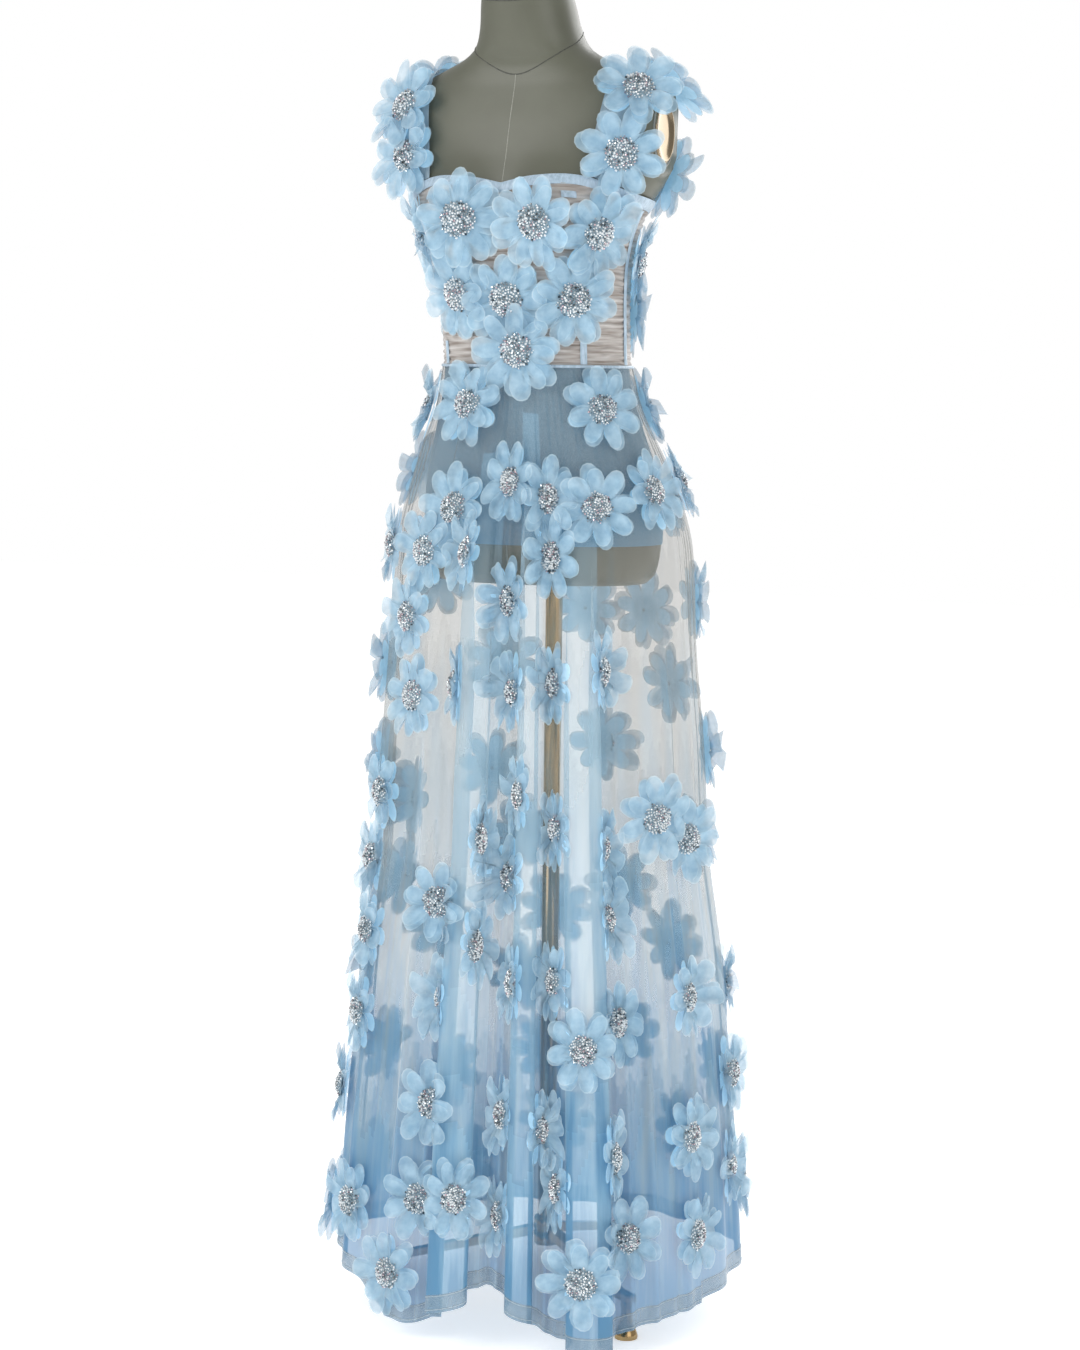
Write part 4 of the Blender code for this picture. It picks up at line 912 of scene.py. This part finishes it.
# Layers, from the cloth outwards (reach, lift at the beads, lift at the tip, turn as a part of a petal)
PETAL_LAYERS = (
    (0.0474, 0.0010, 0.0012, 0.0),
    (0.0532, 0.0024, 0.0080, 0.03),
    (0.0500, 0.0036, 0.0108, -0.13),
)
PETALS, NOTCH, PETAL_ROUND, PETAL_COLUMNS = 8, 0.48, 2.3, 8
PETAL_RINGS = (0.06, 0.42, 0.64, 0.82, 0.97, 1.0)
PETAL_TWIST, PETAL_CUP = 1.15, 0.2
# Limits of each petal's own length, lift and twist, as parts of the usual ones
PETAL_LENGTHS, PETAL_LIFTS, PETAL_TWISTS = (0.92, 1.05), (0.1, 1.8), (-0.5, 0.5)
# How much of a petal's height above the cloth is kept where the cloth curves away
SETTLED = 0.6
SEAT_SPREAD, SEAT_OUT = 0.011, 0.0012


def settle(radius, place, clear):
    """Brings a petal's point part of the way down to the cloth, and never under it."""
    angle, reach = round_body(place)
    cloth = radius(angle, place.z)
    above = reach - cloth - clear
    reach = cloth + clear + (above * SETTLED if above > 0 else 0.0)
    return body_middle(place.z) + outward(angle) * reach


def petal_layer(rng, seat, layer, start, size, fullness):
    """Points of one layer, cut in one piece with its petals round a middle.

    The seat is (middle, right, up, out, radius), and each petal has its own length, lift and twist. A fuller
    flower has its layers turned further from each other.
    """
    middle, right, up, out, radius = seat
    reach, root_lift, tip_lift, shift = layer
    petals = [(rng.uniform(*PETAL_LENGTHS), rng.uniform(*PETAL_LIFTS), rng.uniform(*PETAL_TWISTS))
              for _ in range(PETALS)]
    points = []
    for column in range(PETALS * PETAL_COLUMNS):
        number, place = divmod(column, PETAL_COLUMNS)
        across = 2 * place / PETAL_COLUMNS - 1
        length, lift, twist = petals[number]
        if place == 0:
            length, lift, _ = ((a + b) / 2 for a, b in zip(petals[number], petals[number - 1]))
            twist = 0.0
        turn = start + 2 * math.pi * (column / PETAL_COLUMNS + shift * fullness) / PETALS
        edge = reach * size * length * (1 - NOTCH * abs(across) ** PETAL_ROUND)
        ray = right * math.cos(turn) + up * math.sin(turn)
        for part in PETAL_RINGS:
            rise = root_lift + (tip_lift * lift - root_lift) * part**1.6
            rise += (twist * across * PETAL_TWIST + PETAL_CUP * across**2) * tip_lift * part**2
            rise = max(rise, root_lift)
            spot = middle + ray * edge * part + out * rise
            points.append(settle(radius, spot, rise) if radius else spot)
    return points


def flower_petals(rng, seat, size, fullness):
    """Points, faces and finish numbers of a whole flower's layers."""
    points, faces, finishes = [], [], []
    rings, columns = len(PETAL_RINGS), PETALS * PETAL_COLUMNS
    start = rng.uniform(0, math.pi)
    for layer in PETAL_LAYERS:
        first = len(points)
        points += petal_layer(rng, seat, layer, start, size, fullness)
        lowest = layer is PETAL_LAYERS[0]
        cloth = [LOWEST if lowest else MIDST] * (rings - 1)
        cloth[0], cloth[-1] = LOWEST if lowest else CLOSE_AND_SHADE, RIM_AND_HIGHLIGHT
        for column in range(columns):
            here, there = first + column * rings, first + (column + 1) % columns * rings
            for ring in range(rings - 1):
                faces.append((here + ring, here + ring + 1, there + ring + 1, there + ring))
            finishes += cloth
    return points, faces, finishes


def seat_on(radius, angle, height, drawn_in=1.0):
    """Middle and axes of a flower on a surface round the body, square to the cloth about it.

    A flower that a fold draws in sideways is narrower by that factor.
    """
    step = math.degrees(SEAT_SPREAD / radius(angle, height))
    right = on_body(radius, angle + step, height) - on_body(radius, angle - step, height)
    up = on_body(radius, angle, height + SEAT_SPREAD) - on_body(radius, angle, height - SEAT_SPREAD)
    out = right.cross(up).normalized()
    up = (up - out * up.dot(out)).normalized()
    return on_body(radius, angle, height, SEAT_OUT), up.cross(out) * drawn_in, up, out, radius


# Glass beads and sequins, sewn close together over a small domed backing: silver-lined, clear, rosy and
# pewter. Their facets point every way, so a cluster reads as a grey cushion with white glints.
BEAD_MM = 1.5
# Finishes (name, dark shade, pale shade, metallic, roughness, painted glow)
BEAD_FINISHES = (
    ("silver_lined_bead", "#B4B9BB", "#E6E9EA", 1.0, 0.16, 0.0),
    ("cut_glass_bead", "#CBD3D8", "#F7FAFB", 0.0, 0.06, 0.0),
    ("pewter_sequin", "#5A5F63", "#83898C", 0.9, 0.22, 0.0),
    ("rosy_bead", "#AF9DA3", "#D6C5CA", 0.8, 0.16, 0.0),
    # The backing's faint glow is painted light.
    ("bead_backing", "#6B8392", "#8FA5B2", 0.0, 0.8, 0.12),
)
bead_finishes = []
for name, dark, pale, metallic, roughness, glow in BEAD_FINISHES:
    finish, shader = new_finish(name, {
        "Metallic": metallic, "Roughness": roughness,
        "Emission Color": srgb(pale), "Emission Strength": glow,
    })
    mottled(finish, shader, dark, pale, BEAD_MM)
    bead_finishes.append(finish)
BEAD_CHOICE, BACKING = (0, 0, 0, 0, 1, 1, 1, 2, 3), 4
BEADS, CLUSTER_REACH, CLUSTER_RISE, CLUSTER_EDGE = 130, 0.0196, 0.0080, 0.0042
BEAD_SIZES, BEAD_TILT, BEAD_DEPTH = (0.0013, 0.0020), 0.7, 0.8
BACKING_RIM, BACKING_RINGS, BACKING_SINK = 14, (0.98, 0.65, 0.0), 0.0012
GOLDEN_TURN = math.pi * (3 - math.sqrt(5))
GEM_FACES = ((0, 1, 4), (1, 2, 4), (2, 3, 4), (3, 0, 4), (1, 0, 5), (2, 1, 5), (3, 2, 5), (0, 3, 5))


def cluster_lift(reach):
    """Height of the beads' dome over the flower's seat."""
    return CLUSTER_EDGE + CLUSTER_RISE * (1 - min(reach / CLUSTER_REACH, 1.0) ** 2)


def gem(rng, middle, right, up, out, size):
    """A cut bead with eight facets, turned and tilted at random."""
    lean = rng.uniform(-BEAD_TILT, BEAD_TILT), rng.uniform(-BEAD_TILT, BEAD_TILT)
    out = (out + right * lean[0] + up * lean[1]).normalized()
    right = (right * rng.uniform(-1, 1) + up * rng.uniform(0.3, 1)).cross(out).normalized()
    up = out.cross(right)
    return [middle + right * size, middle + up * size, middle - right * size, middle - up * size,
            middle + out * size * BEAD_DEPTH, middle - out * size * BEAD_DEPTH]


def bead_cluster(rng, seat, size):
    """Points, faces and finish numbers of a flower's beads, over a domed backing."""
    middle, right, up, out, _ = seat
    points, faces, finishes = [], [], []
    start = rng.uniform(0, math.pi)
    for k in range(BEADS):
        reach = CLUSTER_REACH * math.sqrt((k + 0.5) / BEADS) * rng.uniform(0.97, 1.03)
        turn = start + k * GOLDEN_TURN
        place = middle + (right * math.cos(turn) + up * math.sin(turn)) * reach * size
        place += out * (cluster_lift(reach) + rng.uniform(-0.0004, 0.0008)) * size
        first = len(points)
        points += gem(rng, place, right, up, out, rng.uniform(*BEAD_SIZES) * size)
        faces += [tuple(first + i for i in face) for face in GEM_FACES]
        finishes += [rng.choice(BEAD_CHOICE)] * len(GEM_FACES)
    first, rim = len(points), BACKING_RIM
    for ring in BACKING_RINGS:
        reach = CLUSTER_REACH * ring
        for k in range(rim if reach else 1):
            turn = 2 * math.pi * k / rim
            points.append(middle + (right * math.cos(turn) + up * math.sin(turn)) * reach * size
                          + out * (cluster_lift(reach) - BACKING_SINK) * size)
    for k in range(rim):
        after = (k + 1) % rim
        faces.append((first + k, first + after, first + rim + after, first + rim + k))
        faces.append((first + rim + k, first + rim + after, first + 2 * rim))
        finishes += [BACKING, BACKING]
    return points, faces, finishes


FLOWER_SIZES = (0.96, 1.04)


def add_flowers(name, seats, seed, size=1.0, fullness=1.0):
    """Joined petals and joined beads of a group of flowers."""
    rng = random.Random(seed)
    petals, beads = ([], [], []), ([], [], [])
    for seat in seats:
        cut = flower_petals(rng, seat, size * rng.uniform(*FLOWER_SIZES), fullness)
        for (points, faces, finishes), made in ((petals, cut), (beads, bead_cluster(rng, seat, size))):
            faces += [tuple(len(points) + i for i in face) for face in made[1]]
            points += made[0]
            finishes += made[2]
    organza_piece = add_piece(f"{name}_petals", *petals[:2], PETAL_FINISHES, "organza_petals", petals[2])
    add_piece(f"{name}_beads", *beads[:2], bead_finishes, None, beads[2], flat=True)
    return organza_piece


# Flowers on the bodice (angle, height): a little larger and fuller than on the skirt
BODICE_FLOWER_SIZE, BODICE_FULLNESS = 1.10, 1.8
BODICE_FLOWERS = (
    (-53, 1.326), (-21, 1.340), (26, 1.336), (60, 1.325),
    (-33, 1.254), (5, 1.247), (48, 1.247), (11, 1.188),
    (-109, 1.300), (108, 1.296), (-118, 1.226), (117, 1.238),
    (-150, 1.310), (150, 1.306), (-158, 1.222), (157, 1.226),
)


def bodice_surface(angle, height):
    return form_radius(angle, height) + BODICE_OUT + RUCHE_DEPTH


seats = [seat_on(bodice_surface, *place) for place in BODICE_FLOWERS]
add_flowers("bodice_flowers", seats, seed=3, size=BODICE_FLOWER_SIZE, fullness=BODICE_FULLNESS)

# Flowers on the skirt, from the waist down: those of the front and the left side (angle, height, and the part
# of its width that a flower keeps where a fold draws it in)
FRONT_FLOWERS = (
    (-25, 1.123), (61, 1.118), (9, 1.031, 0.62), (27, 1.013, 0.7), (-20, 0.999), (48, 1.002),
    (76, 1.021, 0.9), (-33, 0.947), (-6, 0.948, 0.9), (28, 0.945, 0.6), (10, 0.893, 0.55), (-42, 0.866),
    (-34, 0.772), (-8, 0.791, 0.6), (13, 0.785, 0.6), (30, 0.796, 0.6), (45, 0.813, 0.85),
    (18, 0.667, 0.5), (31, 0.624, 0.5), (67, 0.635), (84, 0.604), (13, 0.565, 0.8), (3, 0.612, 0.45),
    (47, 0.601, 0.5), (-16, 0.529), (3, 0.487, 0.55), (48, 0.516, 0.55), (30, 0.445, 0.6),
    (17, 0.445, 0.5), (76, 0.417), (51, 0.396, 0.55), (-11, 0.416, 0.6), (37, 0.371, 0.85),
    (105, 0.304), (-13, 0.289, 0.9), (13, 0.285, 0.5), (25, 0.270, 0.5), (45, 0.242, 0.85), (73, 0.251),
    (99, 0.193), (-15, 0.174), (1, 0.189, 0.8), (31, 0.200, 0.45), (13, 0.165, 0.5), (52, 0.139, 0.8),
    (74, 0.132), (36, 0.098), (-46, 0.147), (-24, 0.078),
)
# Those round the back and the right side (angle, height)
BACK_FLOWERS = (
    (118, 1.120), (-72, 1.118), (180, 1.090), (110, 1.030), (-90, 1.038), (142, 1.000),
    (-140, 1.010), (-66, 0.950), (176, 0.960), (-112, 0.900), (160, 0.862), (-172, 0.860),
    (128, 0.880), (150, 0.770), (-140, 0.790), (-76, 0.800), (-178, 0.688), (118, 0.700),
    (-103, 0.620), (140, 0.580), (-66, 0.560), (-148, 0.560), (176, 0.500), (158, 0.430),
    (-120, 0.450), (-84, 0.430), (128, 0.400), (-50, 0.380), (-150, 0.370), (-100, 0.300),
    (-70, 0.270), (140, 0.280), (178, 0.300), (-128, 0.240), (158, 0.180), (-160, 0.170),
    (-95, 0.150), (126, 0.150), (-72, 0.120), (-132, 0.120), (-98, 0.520), (-156, 0.270),
    (-136, 0.650), (-50, 0.650), (-50, 0.480), (-160, 0.460), (-78, 0.680),
)
CREASE_ROOM = 0.003


def skirt_surface(angle, height):
    """The outermost cloth at this angle, over the heads of the front folds."""
    return skirt_radius(swung(angle, height, FOLD_HEAD_BACK, HEAD_EDGE), height) + CREASE_ROOM


for name, places, seed in (("front", FRONT_FLOWERS, 5), ("back", BACK_FLOWERS, 8)):
    add_flowers(f"skirt_{name}_flowers", [seat_on(skirt_surface, *place) for place in places], seed)

# Flowers on the straps, by their place along the strap from the front: these hide most of the strap.
STRAP_FLOWERS = {"left": (0.09, 0.36, 0.63, 0.90), "right": (0.10, 0.31, 0.61, 0.89)}
STRAP_FLOWER_SIZE, STRAP_FLOWER_ACROSS, STRAP_FLOWER_OUT, STRAP_STEP = 1.06, 0.6, 0.002, 0.03
for side, turn in SIDES:
    seats = []
    for along in STRAP_FLOWERS[side]:
        ahead, behind = (strap_point(turn, 0.0, along + step, STRAP_OUT)
                         for step in (STRAP_STEP, -STRAP_STEP))
        inner, outer = (strap_point(turn, edge, along, STRAP_OUT) for edge in (-1.0, 1.0))
        lengthwise, widthwise = (ahead - behind).normalized(), (outer - inner).normalized()
        out = lengthwise.cross(widthwise).normalized()
        middle = strap_point(turn, STRAP_FLOWER_ACROSS, along, STRAP_OUT + STRAP_FLOWER_OUT)
        if out.dot(middle - body_middle(SHOULDER_HEIGHT - 0.05)) < 0:
            out = -out
        seats.append((middle, widthwise, out.cross(widthwise), out, None))
    strap_petals = add_flowers(f"strap_flowers_{side}", seats, seed=11 + turn, size=STRAP_FLOWER_SIZE)
    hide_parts(*(f"strap_flower_{side}_{k}" for k in (1, 2, 3, 4)))

# The studio: a plain pale floor, a soft white surround and three large soft lights.
floor_finish, shader = new_finish("studio_floor", {
    "Roughness": 0.9, "Emission Color": srgb("#FFFFFF"), "Emission Strength": 0.45,
})
FLOOR_CLOUD_MM, FLOOR_HALF = 900, 12
mottled(floor_finish, shader, "#FAFAFA", "#FFFFFF", FLOOR_CLOUD_MM)
corners = [(x * FLOOR_HALF, y * FLOOR_HALF, 0) for x, y in ((-1, -1), (1, -1), (1, 1), (-1, 1))]
mesh = bpy.data.meshes.new("studio_floor")
mesh.from_pydata(corners, [], [(0, 1, 2, 3)])
mesh.materials.append(floor_finish)
floor = bpy.data.objects.new("studio_floor", mesh)
bpy.context.scene.collection.objects.link(floor)
world = bpy.data.worlds.new("studio_surround")
bpy.context.scene.world = world
world.use_nodes = True
# The room lights the gown from above more than from below; what is seen behind the gown is plain white.
LIGHT_BELOW, LIGHT_ABOVE = 0.22, 0.78
tree = world.node_tree
room = tree.nodes["Background"]
where = add_node(tree, "ShaderNodeTexCoord")
axes = add_node(tree, "ShaderNodeSeparateXYZ", {}, [(where.outputs["Generated"], "Vector")])
level = add_node(tree, "ShaderNodeMapRange",
                 {"From Min": -1.0, "From Max": 1.0, "To Min": LIGHT_BELOW, "To Max": LIGHT_ABOVE},
                 [(axes.outputs["Z"], "Value")])
tree.links.new(level.outputs["Result"], room.inputs["Color"])
seen = add_node(tree, "ShaderNodeBackground", {"Color": (1, 1, 1, 1), "Strength": 1.0})
ray = add_node(tree, "ShaderNodeLightPath")
choice = add_node(tree, "ShaderNodeMixShader", {},
                  [(ray.outputs["Is Camera Ray"], 0), (room.outputs["Background"], 1),
                   (seen.outputs["Background"], 2)])
tree.links.new(choice.outputs["Shader"], tree.nodes["World Output"].inputs["Surface"])
# Lights (name, place, size, power)
LIGHTS = (
    ("key", (-1.6, -3.2, 2.6), 2.2, 55),
    ("fill", (3.2, -2.0, 1.6), 2.4, 25),
    ("back", (0.8, 3.0, 2.2), 2.6, 60),
)
LIT_POINT = Vector((0, 0, 0.9))
for name, place, size, power in LIGHTS:
    lamp = bpy.data.lights.new(name, "AREA")
    lamp.size, lamp.energy = size, power
    light = bpy.data.objects.new(name, lamp)
    light.location = place
    light.rotation_euler = (LIT_POINT - Vector(place)).to_track_quat("-Z", "Y").to_euler()
    bpy.context.scene.collection.objects.link(light)

# The camera stands 4 m away at waist height, 25 degrees round to the gown's left, looking a little down, so
# the horizon lies DROP_PX above the middle of the photo. The focal length is in the photo's pixels too.
VIEW_TURN, VIEW_REACH, VIEW_SIDE, EYE = 25, 4.0, 0.0165, 1.17
FOCAL_PX, PHOTO_TALL, DROP_PX, ROLL = 3240, 1350, 310, -0.68
SENSOR = 36
toward = outward(VIEW_TURN)
right = outward(VIEW_TURN + 90)
pitch, roll = math.atan(DROP_PX / FOCAL_PX), math.radians(ROLL)
upright = Vector((0, 0, 1)) * math.cos(pitch) - toward * math.sin(pitch)
camera_x = right * math.cos(roll) - upright * math.sin(roll)
camera_y = right * math.sin(roll) + upright * math.cos(roll)
camera_z = camera_x.cross(camera_y)
lens = bpy.data.cameras.new("photo_camera")
lens.sensor_width, lens.lens = SENSOR, SENSOR * FOCAL_PX / PHOTO_TALL
camera = bpy.data.objects.new("photo_camera", lens)
eye = AXIS + toward * VIEW_REACH - right * VIEW_SIDE + Vector((0, 0, EYE))
facing = Matrix((camera_x, camera_y, camera_z)).transposed().to_4x4()
camera.matrix_world = Matrix.Translation(eye) @ facing
bpy.context.scene.collection.objects.link(camera)
bpy.context.scene.camera = camera
bpy.context.scene.view_settings.view_transform = "Standard"
# Light passes through every layer of net and organza.
bpy.context.scene.cycles.transparent_max_bounces = 40
